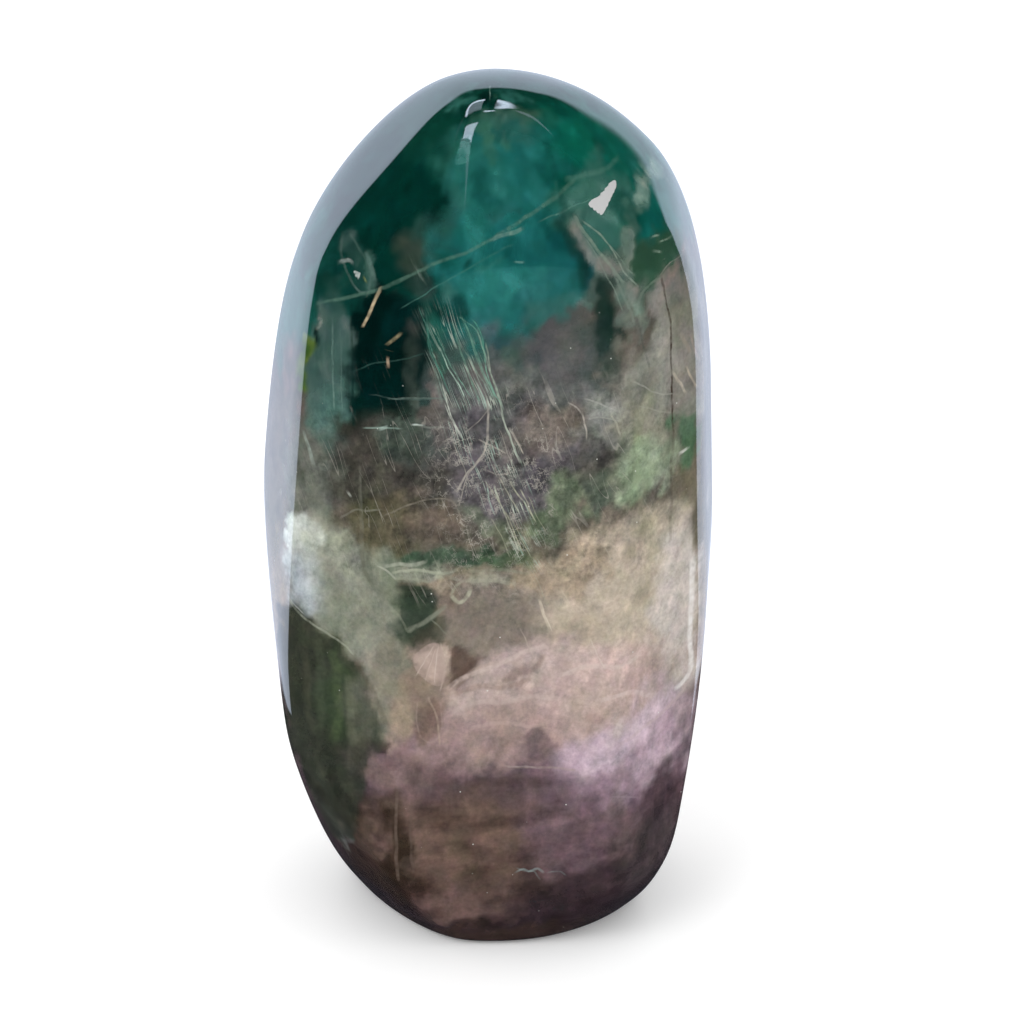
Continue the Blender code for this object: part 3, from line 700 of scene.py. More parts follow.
LINES = tuple(Line(*row) for row in (
    ("healed_veil", ((-18.6, 76.9), (-14.8, 78.3), (-9.9, 80.5), (-7.2, 82.3), (-4.4, 83.7), (-1.9, 84.7), (1.0, 86.1),
     (3.4, 87.4), (6.1, 88.9), (7.7, 90.0), (9.3, 91.2)), 0.26, "#7DA894", 0.5),
    ("healed_veil_end", ((8.4, 91.2), (10.4, 91.7), (12.6, 91.8), (14.1, 92.1)), 0.3, "#6FA492", 0.45),
    ("veil_lower", ((-14.5, 70.2), (-13.0, 71.0), (-10.6, 71.8), (-6.8, 73.2)), 0.12, "#4E7A70", 0.35),
    # Painted highlights: golden glints where cleavage inside the stone catches the light.
    ("painted_gold_highlight_long", ((-11.6, 79.6), (-12.3, 78.0), (-13.6, 75.4)), 0.22, "#FFE8BE", 1.0),
    ("painted_gold_highlight_short", ((-10.8, 73.8), (-10.2, 74.3), (-9.6, 75.0)), 0.24, "#D9C79A", 0.9),
    ("painted_gold_highlight_dot", ((-10.9, 72.0), (-10.9, 71.3)), 0.24, "#E6C7A8", 0.9),
    ("smoky_crack", ((18.8, 80.4), (19.1, 78.9), (19.6, 76.4), (20.0, 74.4), (20.2, 69.9), (20.3, 64.0), (20.6, 62.2)),
     0.14, "#3A2F27", 0.9),
    ("smoky_crack_low", ((20.6, 62.2), (20.4, 58.9), (20.4, 54.1), (20.4, 49.4)), 0.2, "#4A4238", 0.45),
    ("triangle_top", ((18.9, 80.4), (17.5, 80.1), (16.4, 79.0), (16.0, 77.3)), 0.22, "#93A091", 0.4),
    ("triangle_inner", ((16.0, 76.6), (16.6, 74.5), (17.1, 72.4), (17.7, 70.4)), 0.16, "#49504A", 0.5),
    ("right_ray", ((20.4, 69.1), (21.0, 67.8), (21.8, 66.3)), 0.2, "#CFC4B2", 0.8),
    ("right_ray_far", ((22.0, 69.3), (22.5, 67.7), (23.1, 66.6)), 0.16, "#C2B6A2", 0.7),
    ("right_ray_high", ((21.2, 73.1), (21.8, 71.8), (22.4, 70.8)), 0.3, "#A99C8A", 0.5),
    ("rib_edge", ((9.3, 87.9), (10.2, 86.4), (11.7, 84.5), (13.4, 82.6), (14.6, 80.9)), 0.22, "#A9BCA8", 0.7),
    ("rib_edge_low", ((13.4, 82.6), (14.4, 79.8), (15.1, 78.2), (15.7, 76.2)), 0.2, "#96A698", 0.5),
    ("face_right", ((6.1, 94.9), (7.3, 91.6), (8.4, 88.0), (9.3, 84.6), (10.5, 79.1)), 0.5, "#0C4A40", 0.45),
    ("dash_one", ((17.8, 85.0), (18.4, 85.0)), 0.16, "#BFD8C2", 0.9),
    ("dash_two", ((18.7, 84.2), (19.9, 84.3)), 0.16, "#BFD8C2", 0.8),
    ("dash_three", ((18.0, 83.4), (18.6, 83.1)), 0.18, "#CFE6D2", 0.9),
    ("dash_right", ((21.5, 59.3), (22.1, 59.6)), 0.26, "#F2F4EA", 0.95),
    ("shelf_line", ((-13.5, 63.7), (-12.0, 64.1), (-11.0, 64.3), (-9.6, 64.4)), 0.12, "#9FB9AC", 0.7),
    ("shelf_glow", ((-11.8, 64.0), (-11.2, 64.3)), 0.22, "#C6DDD2", 0.9),
    ("shelf_line_far", ((-8.4, 64.9), (-6.9, 64.8), (-4.6, 65.0)), 0.16, "#8E968C", 0.5),
    ("level_line", ((-10.7, 67.6), (-7.9, 68.2), (-4.7, 68.2)), 0.14, "#74867D", 0.6),
    ("fibre_one", ((-6.6, 77.3), (-6.4, 75.3), (-6.3, 73.4), (-5.2, 71.4), (-4.2, 69.0)), 0.109, "#5FA08C", 0.6),
    ("fibre_two", ((-5.1, 73.8), (-4.2, 71.5), (-3.4, 70.4), (-2.6, 68.6)), 0.094, "#C9E8D4", 0.95),
    ("fibre_three", ((-4.9, 69.7), (-4.0, 66.4), (-2.8, 63.9)), 0.101, "#C9CFC2", 0.85),
    ("fibre_four", ((-1.6, 77.0), (-0.5, 75.2), (-0.5, 73.4)), 0.109, "#6FB79C", 0.7),
    ("fibre_five", ((-2.8, 77.4), (-1.8, 74.8), (-0.8, 71.8), (0.7, 68.5)), 0.125, "#84B79F", 0.65),
    ("fibre_six", ((-2.3, 73.4), (-1.3, 71.2), (0.1, 69.3), (1.0, 67.6)), 0.094, "#93AD9B", 0.6),
    ("fibre_seven", ((-3.9, 76.9), (-3.1, 74.3), (-1.9, 70.6), (-0.9, 67.9)), 0.14, "#7DA893", 0.6),
    ("fibre_eight", ((-0.2, 74.3), (0.2, 71.5), (1.1, 68.5), (1.6, 66.2), (2.5, 63.4), (3.5, 60.9)),
     0.125, "#A9B5A4", 0.75),
    ("fibre_nine", ((-1.2, 76.0), (0.0, 71.9), (0.8, 69.9), (1.6, 67.1)), 0.109, "#A4B8A6", 0.6),
    ("fibre_ten", ((2.4, 64.7), (3.1, 63.5), (3.8, 62.0)), 0.125, "#B7AFA2", 0.75),
    ("fibre_low", ((2.5, 58.6), (3.6, 56.7), (5.2, 54.3)), 0.094, "#C0C0A6", 0.8),
    ("fibre_lower", ((0.8, 58.2), (1.5, 55.7), (2.4, 53.2), (3.5, 50.8)), 0.109, "#B8BAA4", 0.7),
    ("fibre_last", ((1.9, 55.2), (2.9, 52.7), (3.9, 50.5)), 0.094, "#B2B598", 0.7),
    ("branch_vein", ((-0.2, 67.9), (-0.0, 66.7), (-0.0, 63.9), (-0.8, 61.4), (-2.0, 60.2), (-2.8, 59.0), (-3.4, 57.8)),
     0.15, "#BDB6AA", 0.75),
    ("right_vein", ((10.3, 66.4), (10.6, 65.0), (10.7, 63.5)), 0.12, "#C4BCAE", 0.75),
    ("right_vein_far", ((13.5, 66.0), (14.0, 64.9), (14.4, 63.7)), 0.16, "#C4C2AE", 0.7),
    ("small_vein", ((7.4, 63.3), (7.6, 62.2), (8.0, 61.2)), 0.16, "#A9A69C", 0.6),
    ("brown_arc", ((-11.4, 54.1), (-9.5, 55.4), (-7.2, 56.6), (-4.3, 56.9), (-3.0, 55.3), (-2.7, 52.5)),
     0.14, "#A39A8C", 0.4),
    ("brown_arc_left", ((-16.2, 53.1), (-14.7, 54.4), (-13.6, 54.3), (-11.9, 54.7)), 0.16, "#98978A", 0.5),
    ("ring_left", ((-4.0, 45.4), (-3.5, 44.6), (-2.9, 44.5), (-2.3, 45.2), (-2.0, 46.1)), 0.3, "#C6C7AE", 0.85),
    ("ring_top", ((-4.0, 45.7), (-3.5, 46.6), (-2.9, 47.1)), 0.22, "#AFB19A", 0.7),
    ("ledge_top", ((-10.5, 47.6), (-8.8, 48.2), (-7.0, 48.4), (-5.3, 48.2)), 0.2, "#B9BCA4", 0.6),
    ("bar", ((-8.6, 41.2), (-7.0, 42.4), (-5.9, 43.3), (-4.9, 44.2)), 0.35, "#7F8474", 0.8),
    ("bar_foot", ((-8.2, 41.5), (-8.9, 40.7), (-9.3, 42.1), (-10.9, 43.7)), 0.2, "#8A8F7C", 0.5),
    ("haze_edge", ((-22.6, 41.8), (-21.5, 40.7), (-19.6, 39.7), (-17.8, 39.0), (-16.0, 38.0), (-15.1, 37.1)),
     0.18, "#C6CBB8", 0.35),
    ("haze_edge_low", ((-15.1, 37.1), (-14.4, 35.3), (-13.3, 34.2), (-12.5, 31.9), (-11.4, 29.5)),
     0.45, "#5A5245", 0.45),
    ("haze_seam", ((-14.0, 49.7), (-13.7, 46.9), (-12.9, 45.7)), 0.3, "#5B5A4C", 0.6),
    ("needle", ((5.7, 44.7), (6.1, 43.1), (6.7, 41.4)), 0.18, "#D6C9B4", 0.85),
    ("needle_far", ((8.1, 45.1), (9.1, 44.0), (10.2, 42.5)), 0.14, "#C4B5A0", 0.5),
    ("fan_edge", ((-5.3, 39.8), (-5.0, 37.9), (-4.8, 36.0), (-5.3, 34.3)), 0.16, "#C9B7AA", 0.6),
    ("pillar_edge", ((-6.7, 33.3), (-5.8, 31.6), (-5.5, 29.4), (-5.4, 27.7)), 0.16, "#BBA795", 0.5),
    ("ridge_pale", ((-4.2, 34.3), (-2.0, 36.4), (0.4, 37.3), (2.5, 37.5), (4.1, 36.7)), 0.4, "#BBA79B", 0.5),
    # Painted reflection: the pale edge of the right rim's reflection, hooking in at its foot.
    ("painted_rim_reflection_edge", ((23.1, 46.0), (23.1, 41.2), (23.0, 36.3), (23.3, 33.2), (22.8, 31.7), (21.5, 31.0)),
     0.42, "#F0ECE8", 0.9),
    ("lilac_edge", ((23.1, 31.3), (22.0, 30.1), (20.7, 29.0), (17.7, 27.6), (14.9, 26.7)), 0.3, "#C4B0AC", 0.5),
    ("dark_level", ((-6.5, 24.8), (-3.7, 25.0), (-0.6, 24.7), (1.9, 24.2)), 0.7, "#3E3530", 0.25),
    ("pale_level", ((1.4, 25.0), (3.2, 24.7), (7.0, 24.6), (9.8, 24.2)), 0.2, "#A8988C", 0.5),
    # Painted highlight: a small white-cyan squiggle low on the front.
    ("painted_squiggle_highlight", ((3.2, 10.8), (4.0, 11.4), (4.8, 10.7), (5.6, 11.5), (6.3, 10.9)), 0.2, "#A4B8B6", 0.6),
    ("edge_352", ((-14.8, 78.0), (-14.8, 73.5), (-14.8, 69.0), (-14.8, 63.9)), 0.2, "#062A26", 0.7),
    ("edge_362", ((-14.1, 58.0), (-14.1, 53.1), (-14.0, 48.5)), 0.2, "#8D8C7C", 0.2),
    ("flake_left", ((-15.8, 84.1), (-16.0, 82.8), (-15.6, 81.1), (-14.8, 79.9), (-13.9, 79.0)), 0.2, "#8FA39A", 0.35),
    ("flake_right", ((-15.0, 84.5), (-13.9, 83.4), (-13.0, 82.2), (-12.4, 80.5), (-13.0, 78.9)), 0.18, "#7F9A90", 0.35),
    # Painted highlight on the flake's glassy fracture.
    ("flake_painted_highlight", ((-16.0, 81.7), (-15.1, 82.1), (-14.8, 81.9)), 0.3, "#D9E4DE", 0.85),
    # Painted highlight: a white glint where a cleavage face inside the stone catches the light.
    ("painted_white_glint", ((13.4, 90.9), (14.0, 90.3), (13.2, 89.4), (12.3, 87.9), (11.9, 88.0), (11.3, 88.5), (10.5, 89.0),
     (11.9, 89.6)), 0.06, "#FFFFFF", 1.0, True),
    # Painted reflection: a faint ghost of the window below the crown.
    ("painted_window_reflection", ((-2.9, 94.8), (-2.5, 94.8), (-2.0, 94.7), (-1.9, 94.4), (-2.1, 93.1), (-2.3, 92.9), (-2.9, 92.8),
     (-3.5, 92.7), (-3.5, 93.0), (-3.0, 94.5)), 0.12, "#57A39A", 0.3, True),
    # Painted highlight on the flake's glassy fracture.
    ("flake_painted_flash", ((-14.6, 81.2), (-14.1, 81.1), (-13.8, 80.9), (-14.0, 80.2), (-14.4, 80.5)),
     0.1, "#DCE6E1", 0.5, True),
    ("flake_beam", ((-13.1, 83.1), (-12.5, 81.7), (-12.2, 80.6)), 0.3, "#8FB0A5", 0.6),
    ("flake_tip", ((-14.3, 79.4), (-13.8, 78.9), (-13.1, 79.2)), 0.2, "#7F9A90", 0.5),
    ("flake_fleck", ((-13.3, 80.6), (-13.1, 80.3)), 0.16, "#B9BE6E", 0.8),
    ("fan", ((-6.6, 39.7), (-5.2, 39.8), (-4.7, 35.2), (-6.1, 34.7), (-8.8, 37.4)), 0.25, "#B09C92", 0.3, True),
    ("stem_line", ((0.2, 99.5), (0.2, 98.7)), 0.09, "#9FC4B8", 0.8),
    ("crown_crack", ((-2.9, 99.0), (-2.0, 99.3), (-0.7, 99.5)), 0.12, "#0A3A32", 0.8),
    ("veil_two", ((-9.1, 78.0), (-6.2, 80.3), (-3.5, 82.0), (-0.9, 83.5), (2.6, 85.1)), 0.1, "#5C9C8C", 0.5),
    ("veil_core", ((0.6, 85.8), (2.4, 86.3), (3.6, 86.7)), 0.3, "#A9CDBB", 0.7),
    ("wedge_line", ((7.3, 90.9), (7.6, 89.4)), 0.25, "#4E9486", 0.5),
    ("veil_three", ((5.6, 87.4), (7.3, 88.2), (9.3, 88.8), (10.9, 89.3)), 0.1, "#7FAE9E", 0.5),
    ("rib_two", ((10.1, 87.4), (12.7, 85.6), (14.7, 82.1), (16.0, 80.1)), 0.12, "#B5C6B4", 0.6),
    ("rib_three", ((10.5, 85.5), (12.0, 83.3), (13.7, 80.1), (14.4, 77.8)), 0.1, "#9FB2A2", 0.5),
    ("rib_four", ((11.6, 86.3), (13.7, 84.4), (15.7, 81.4)), 0.12, "#9DB3A2", 0.5),
    ("stripe_one", ((-16.9, 75.4), (-17.0, 70.9), (-16.9, 65.5)), 0.14, "#7E9E94", 0.6),
    ("stripe_two", ((-16.0, 74.5), (-16.1, 69.7), (-16.0, 65.4)), 0.1, "#6E9086", 0.5),
    ("stripe_three", ((-17.9, 74.1), (-18.0, 69.6), (-17.9, 65.8)), 0.12, "#5F8278", 0.5),
    ("triangle_edge", ((18.8, 80.7), (19.8, 81.8), (21.2, 82.0)), 0.12, "#A9A79C", 0.7),
    ("pink_one", ((22.4, 72.6), (22.9, 71.0), (23.4, 69.6)), 0.16, "#B9A39A", 0.6),
    ("right_line", ((15.7, 69.5), (17.4, 68.2), (18.2, 67.4), (20.3, 66.6)), 0.12, "#A9A99E", 0.6),
    ("right_line_low", ((16.6, 66.5), (18.4, 65.3), (20.1, 64.5)), 0.12, "#A3A394", 0.5),
    ("dash_five", ((3.0, 83.4), (3.7, 83.4)), 0.16, "#9FD0C2", 0.8),
    ("shelf_two", ((-12.7, 67.7), (-10.5, 67.6), (-5.1, 68.3)), 0.12, "#5E7670", 0.4),
    ("shelf_spark", ((-8.1, 64.9), (-7.2, 65.0)), 0.14, "#DCE8DF", 0.9),
    ("blade", ((-20.4, 61.9), (-19.8, 60.3), (-19.4, 58.6)), 0.25, "#A9B8AE", 0.6),
    ("ridge_left", ((-14.1, 59.2), (-13.9, 55.5), (-13.8, 49.7)), 0.16, "#84867A", 0.25),
    ("dot_left", ((-15.4, 56.1), (-15.2, 55.8)), 0.18, "#CBD0C4", 0.8),
    ("fibre_a", ((-7.4, 78.2), (-6.4, 75.6), (-5.9, 73.0), (-4.9, 70.7)), 0.094, "#5FA08C", 0.7),
    ("fibre_b", ((-4.6, 67.5), (-3.7, 65.5), (-2.9, 63.9)), 0.094, "#C2C8BB", 0.8),
    ("fibre_c", ((-3.0, 77.4), (-0.9, 75.7), (-0.5, 73.4), (0.1, 70.0), (1.2, 67.8)), 0.094, "#86BCA4", 0.7),
    ("fibre_d", ((1.4, 66.6), (2.5, 63.7), (3.3, 61.0)), 0.094, "#BCC0B4", 0.8),
    ("fibre_e", ((2.5, 64.3), (3.3, 63.0), (3.8, 62.0)), 0.078, "#C4BEB0", 0.8),
    ("fibre_f", ((3.6, 57.6), (4.4, 55.8), (5.3, 54.1)), 0.094, "#C6C6AE", 0.8),
    ("fibre_g", ((-5.4, 75.3), (-4.5, 73.0), (-3.6, 71.3), (-2.0, 68.6)), 0.078, "#8FC2AA", 0.6),
    ("fibre_h", ((-1.9, 74.9), (-1.3, 72.6), (-0.4, 70.6), (0.5, 68.3)), 0.078, "#8FB8A2", 0.6),
    ("fibre_i", ((-0.1, 58.7), (1.2, 56.6), (2.0, 54.7)), 0.078, "#B0AF98", 0.7),
    ("fibre_j", ((1.3, 59.1), (2.6, 56.8), (3.3, 55.2)), 0.078, "#B8B6A0", 0.7),
    ("fibre_k", ((2.6, 54.2), (3.7, 52.1), (4.7, 50.0)), 0.078, "#A9AA90", 0.7),
    ("fibre_l", ((4.4, 56.8), (5.5, 54.6), (6.3, 53.0)), 0.078, "#A6A88E", 0.6),
    ("fibre_m", ((0.4, 54.3), (1.7, 51.9), (2.4, 50.0)), 0.078, "#A3A58C", 0.6),
    ("fibre_n", ((-3.9, 63.6), (-2.8, 61.1), (-2.2, 59.0)), 0.078, "#ADA89C", 0.6),
    ("fibre_o", ((1.3, 64.6), (2.2, 62.1), (2.8, 59.6)), 0.078, "#ADA89C", 0.6),
    ("vein_side", ((-0.9, 63.5), (0.4, 62.6), (1.9, 62.1)), 0.12, "#B6AFA3", 0.7),
    ("vein_side_two", ((-0.4, 61.7), (-2.0, 60.1), (-2.8, 58.1), (-3.2, 56.1)), 0.1, "#B0A99E", 0.6),
    ("vein_side_three", ((-0.1, 60.1), (1.3, 59.4), (2.6, 59.7)), 0.1, "#A9A298", 0.6),
    ("vein_left", ((0.1, 67.2), (-1.1, 65.4), (-2.4, 64.5)), 0.1, "#B0AAA0", 0.6),
    ("ring_small", ((-3.6, 61.2), (-3.1, 60.9), (-3.2, 60.5), (-3.6, 60.6)), 0.08, "#C4BEB2", 0.7),
    ("middle_right", ((8.8, 67.6), (10.3, 66.6), (10.7, 63.8)), 0.12, "#B5B0A6", 0.7),
    ("wisp_one", ((10.6, 68.0), (12.2, 67.4), (14.3, 66.3)), 0.14, "#B4B4AC", 0.6),
    ("wisp_two", ((11.1, 65.7), (12.6, 65.9), (14.3, 65.2)), 0.12, "#AEAEA4", 0.5),
    ("wisp_three", ((-12.2, 48.1), (-11.3, 47.8), (-10.4, 47.0)), 0.16, "#C2C2B2", 0.7),
    ("bar_two", ((-8.8, 41.2), (-6.7, 42.7), (-4.7, 44.3)), 0.3, "#8A8E7E", 0.5),
    ("bar_three", ((-6.1, 42.6), (-5.3, 41.9), (-4.7, 41.0)), 0.14, "#8A8C7C", 0.6),
    ("needle_one", ((5.9, 44.4), (6.3, 43.0), (7.0, 41.1)), 0.1, "#DCD0BC", 0.8),
    ("needle_two", ((8.3, 45.6), (8.8, 44.7), (9.2, 43.8)), 0.1, "#CBBCA8", 0.6),
    ("needle_three", ((9.4, 44.7), (10.1, 43.9), (10.9, 42.9)), 0.1, "#CBBCA8", 0.6),
    ("needle_four", ((11.4, 39.9), (12.1, 38.1), (13.0, 36.4)), 0.1, "#DCCFC2", 0.5),
    ("needle_five", ((3.6, 41.3), (4.2, 39.8), (5.1, 38.1)), 0.1, "#C2B2A4", 0.5),
    ("fan_line", ((-5.9, 39.5), (-6.5, 37.3), (-7.6, 35.4)), 0.12, "#8C786C", 0.6),
    ("cloud_edge", ((-4.5, 34.6), (-2.6, 35.9), (1.3, 37.1), (3.6, 38.5), (6.3, 39.3)), 0.39, "#CFBDB4", 0.6),
    ("cloud_edge_two", ((-4.0, 31.6), (-0.9, 33.0), (1.6, 32.4), (4.7, 33.6), (8.1, 32.8)), 0.39, "#CBB8B0", 0.52),
    ("cloud_edge_three", ((8.0, 35.7), (11.4, 37.0), (14.6, 36.1), (17.1, 36.9)), 0.39, "#DACAC0", 0.52),
    ("cloud_edge_four", ((-2.0, 29.6), (1.3, 30.3), (4.7, 29.5), (7.6, 30.4)), 0.33, "#BEA8A0", 0.45),
    ("cloud_shade", ((-3.7, 33.8), (-0.9, 34.9), (1.9, 34.1), (4.7, 35.5)), 0.45, "#8E786C", 0.52),
    ("cup_edge", ((-7.9, 32.8), (-8.1, 30.3), (-7.4, 27.9), (-5.8, 27.9), (-5.0, 30.1), (-5.4, 32.8)),
     0.14, "#B09C92", 0.3),
    ("cloud_edge_five", ((12.6, 32.6), (16.0, 33.0), (19.0, 31.1)), 0.39, "#DCCBC6", 0.45),
    ("fan_ray", ((-6.2, 39.3), (-7.1, 37.5), (-8.0, 36.0)), 0.1, "#D6C6BA", 0.6),
    ("fan_ray_two", ((-5.6, 39.3), (-5.8, 37.4), (-6.0, 35.2)), 0.1, "#D6C6BA", 0.6),
    ("fan_ray_three", ((-5.9, 39.0), (-6.6, 36.9), (-7.0, 35.4)), 0.09, "#CDBBAE", 0.5),
    ("haze_right_edge", ((-14.0, 49.4), (-13.3, 47.0), (-11.6, 44.1), (-9.9, 41.3), (-8.8, 39.3)), 0.5, "#6E7264", 0.3),
    ("ledge_one", ((-11.4, 48.2), (-9.7, 48.9), (-8.2, 48.8), (-6.9, 49.4)), 0.3, "#BEC2B0", 0.6),
    ("ledge_two", ((-9.7, 47.9), (-7.5, 48.4), (-5.3, 48.0), (-3.6, 48.5)), 0.25, "#A9AE9A", 0.6),
    ("ledge_three", ((-10.3, 46.9), (-8.4, 47.3), (-6.6, 47.0)), 0.2, "#A2A690", 0.5),
    ("ledge_four", ((-4.2, 47.6), (-2.4, 47.1), (0.2, 47.3), (3.0, 46.7)), 0.3, "#A9A896", 0.5),
    ("ledge_five", ((-2.0, 48.3), (1.3, 48.4), (4.6, 48.0)), 0.25, "#8E9480", 0.4),
    ("moss_one", ((-17.7, 36.9), (-16.9, 34.6), (-17.2, 32.4), (-16.6, 29.9), (-17.5, 26.3)), 0.7, "#6B7C52", 0.22),
    ("moss_two", ((-19.2, 38.0), (-18.8, 34.7), (-19.2, 32.0), (-18.8, 29.4), (-19.6, 26.4)), 0.7, "#5F6A52", 0.22),
    ("moss_three", ((-15.8, 34.4), (-15.3, 31.6), (-15.6, 28.9), (-15.3, 26.2)), 0.7, "#868A72", 0.22),
    ("moss_four", ((-20.9, 36.4), (-20.4, 33.4), (-20.7, 30.4), (-20.1, 26.9)), 0.6, "#62634F", 0.2),
    ("plum_line", ((2.3, 24.8), (4.1, 24.8), (5.9, 24.5)), 0.12, "#A8999A", 0.6),
    ("streak_low", ((-10.3, 21.4), (-10.5, 15.9), (-10.3, 9.7)), 0.25, "#7A6A60", 0.5),
    ("streak_low_two", ((-8.6, 20.7), (-8.8, 15.5), (-8.5, 11.1)), 0.2, "#6A5A52", 0.45),
    # Painted highlight: more of the white-cyan squiggle low on the front.
    ("painted_squiggle_highlight_two", ((3.4, 11.4), (4.5, 10.7), (5.3, 11.1), (6.0, 9.9)), 0.14, "#94A4A2", 0.3),
    ("painted_squiggle_highlight_three", ((6.9, 10.8), (8.3, 11.0), (8.9, 10.4)), 0.14, "#8E9C9C", 0.4),
    ("pale_low", ((14.1, 20.5), (14.9, 20.4), (17.0, 19.4)), 0.14, "#9A8A90", 0.6),
    ("layer_one", ((-5.4, 19.3), (-0.9, 19.4), (3.6, 18.9)), 0.7, "#7A665A", 0.25),
    ("layer_two", ((-6.6, 15.8), (-2.0, 16.3), (3.6, 15.6)), 0.7, "#80695A", 0.25),
    ("layer_three", ((-4.3, 23.3), (1.4, 22.9), (5.9, 23.1)), 0.7, "#3A2E2C", 0.3),
    ("haze_rim", ((-22.6, 42.1), (-21.9, 41.4), (-20.9, 40.8)), 0.12, "#D2D6D0", 0.5),
))


class Region(Enum):
    """Where a drift lies."""

    CLOUDY = "below the green"
    BUSY = "the broken middle"
    GREEN = "the green top"
    LEVEL = "the dark foot"
    SLANT = "the pale middle"


@dataclass(frozen=True)
class Cloud:
    """A drift that makes the colour under it lighter or darker: patches of one size, drawn out one way."""

    region: Region
    size: float
    stretch: float
    turn: float
    shade: tuple[float, float, float]
    low: float
    high: float
    seed: int
    octaves: int = 4

    def weight(self, points: np.ndarray) -> np.ndarray:
        """How much of the drift each point takes.

        The field is a sum of ripples, each half the length of the one before and half as strong, read at
        places turned in the front plane and divided by the stretch.

        Args:
            points: places in millimetres.

        Returns:
            The smoothstep of the field between low and high.
        """
        turn = math.radians(self.turn)
        x, y, z = np.moveaxis(points, -1, 0)
        across = x * math.cos(turn) - z * math.sin(turn)
        along = (z * math.cos(turn) + x * math.sin(turn)) / self.stretch
        laid = np.stack([across, y, along], axis=-1)
        drift = sum(Ripples(self.size / 2**n, self.seed + n).at(laid) / 2**n for n in range(self.octaves))
        return smoothstep((drift - self.low) / (self.high - self.low))


@dataclass(frozen=True)
class Threads:
    """Hair-thin lines: where noise of one size in millimetres passes through its middle value."""

    size: float
    stretch: float
    colour: str
    strength: float
    width: float
    bend: float
    shift: float


# The bands' colours by level in millimetres, from the foot up.
BANDS = (
    (3, Dye.DUSK),
    (12, Dye.UMBER),
    (20, Dye.PLUM),
    (26, Dye.MAUVE),
    (32, Dye.BLUSH),
    (40, Dye.SAND),
    (48, Dye.MOSS),
    (56, Dye.SMOKE),
    (73, Dye.SMOKE),
    (78, Dye.TEAL),
    (86, Dye.TEAL),
    (94, Dye.DEEP_GREEN),
)
BANDS_WANDER = Wander(((1.6, 14, 3), (0.8, 5, 4)))
BANDS_CLIMB = 0.35
CLIMB_STARTS = Border(52, 0, 22, sway=0)

# The borders of the regions that the drifts lie in.
GREEN_STARTS = Border(66, 0.35, 12)
SLANT_STARTS = Border(20, 0, 8)
SLANT_ENDS = Border(44, 0.2, 10)
LEVEL_ENDS = Border(22, 0, 7)
SLANT_CALM = 0.55
REGIONS_RIPPLE = Ripples(5, 21)

CLOUDS = (
    Cloud(Region.GREEN, 6.0, 1.5, 30, (0.45, 0.66, 0.64), 0.1, 1.1, 100),
    Cloud(Region.GREEN, 4.5, 1.8, -30, (1.9, 1.35, 1.4), 0.2, 1.2, 110),
    Cloud(Region.GREEN, 2.4, 2.4, 20, (1.3, 1.18, 1.2), 0.1, 1.1, 120),
    Cloud(Region.CLOUDY, 4.0, 1.4, 15, (0.74, 0.74, 0.74), 0.0, 1.1, 130),
    Cloud(Region.CLOUDY, 3.4, 1.6, -20, (1.26, 1.25, 1.25), 0.1, 1.2, 140),
    Cloud(Region.CLOUDY, 7.0, 1.6, 10, (0.86, 0.91, 0.83), 0.1, 1.0, 150),
    Cloud(Region.BUSY, 1.7, 1.3, 30, (0.62, 0.62, 0.63), 0.0, 1.0, 210),
    Cloud(Region.BUSY, 1.5, 1.6, -10, (1.42, 1.42, 1.38), 0.1, 1.1, 220),
    Cloud(Region.LEVEL, 3.0, 2.6, 88, (0.68, 0.66, 0.67), 0.0, 1.2, 160),
    Cloud(Region.LEVEL, 2.4, 3.4, 92, (1.20, 1.18, 1.19), 0.1, 1.2, 170),
    Cloud(Region.LEVEL, 1.8, 5.0, 0, (1.20, 1.18, 1.18), 0.1, 1.2, 180),
    Cloud(Region.SLANT, 1.3, 5.0, 24, (1.16, 1.14, 1.13), 0.1, 1.1, 190),
    Cloud(Region.SLANT, 3.0, 2.4, 50, (0.88, 0.87, 0.86), 0.2, 1.1, 200),
)

FIBRE_THREADS = (
    Threads(0.42, 40.0, "#B0CCBC", 0.62, 0.022, 0.1, 0.0),
    Threads(0.85, 26.0, "#C9D2C2", 0.70, 0.010, 0.15, 5.0),
)

HAIR_THREADS = Threads(1.3, 12.0, "#CFC9BC", 0.30, 0.009, 0.3, 9.0)


@dataclass(frozen=True)
class Ramp:
    """A straight change: the low value up to the start, the high value from the end on."""

    start: float = 0.0
    end: float = 1.0
    low: float = 0.0
    high: float = 1.0

    def of(self, value: Any) -> dict[int, Any]:
        """The inputs of a Map Range node that reads the ramp at the value."""
        return {0: value, 1: self.start, 2: self.end, 3: self.low, 4: self.high}


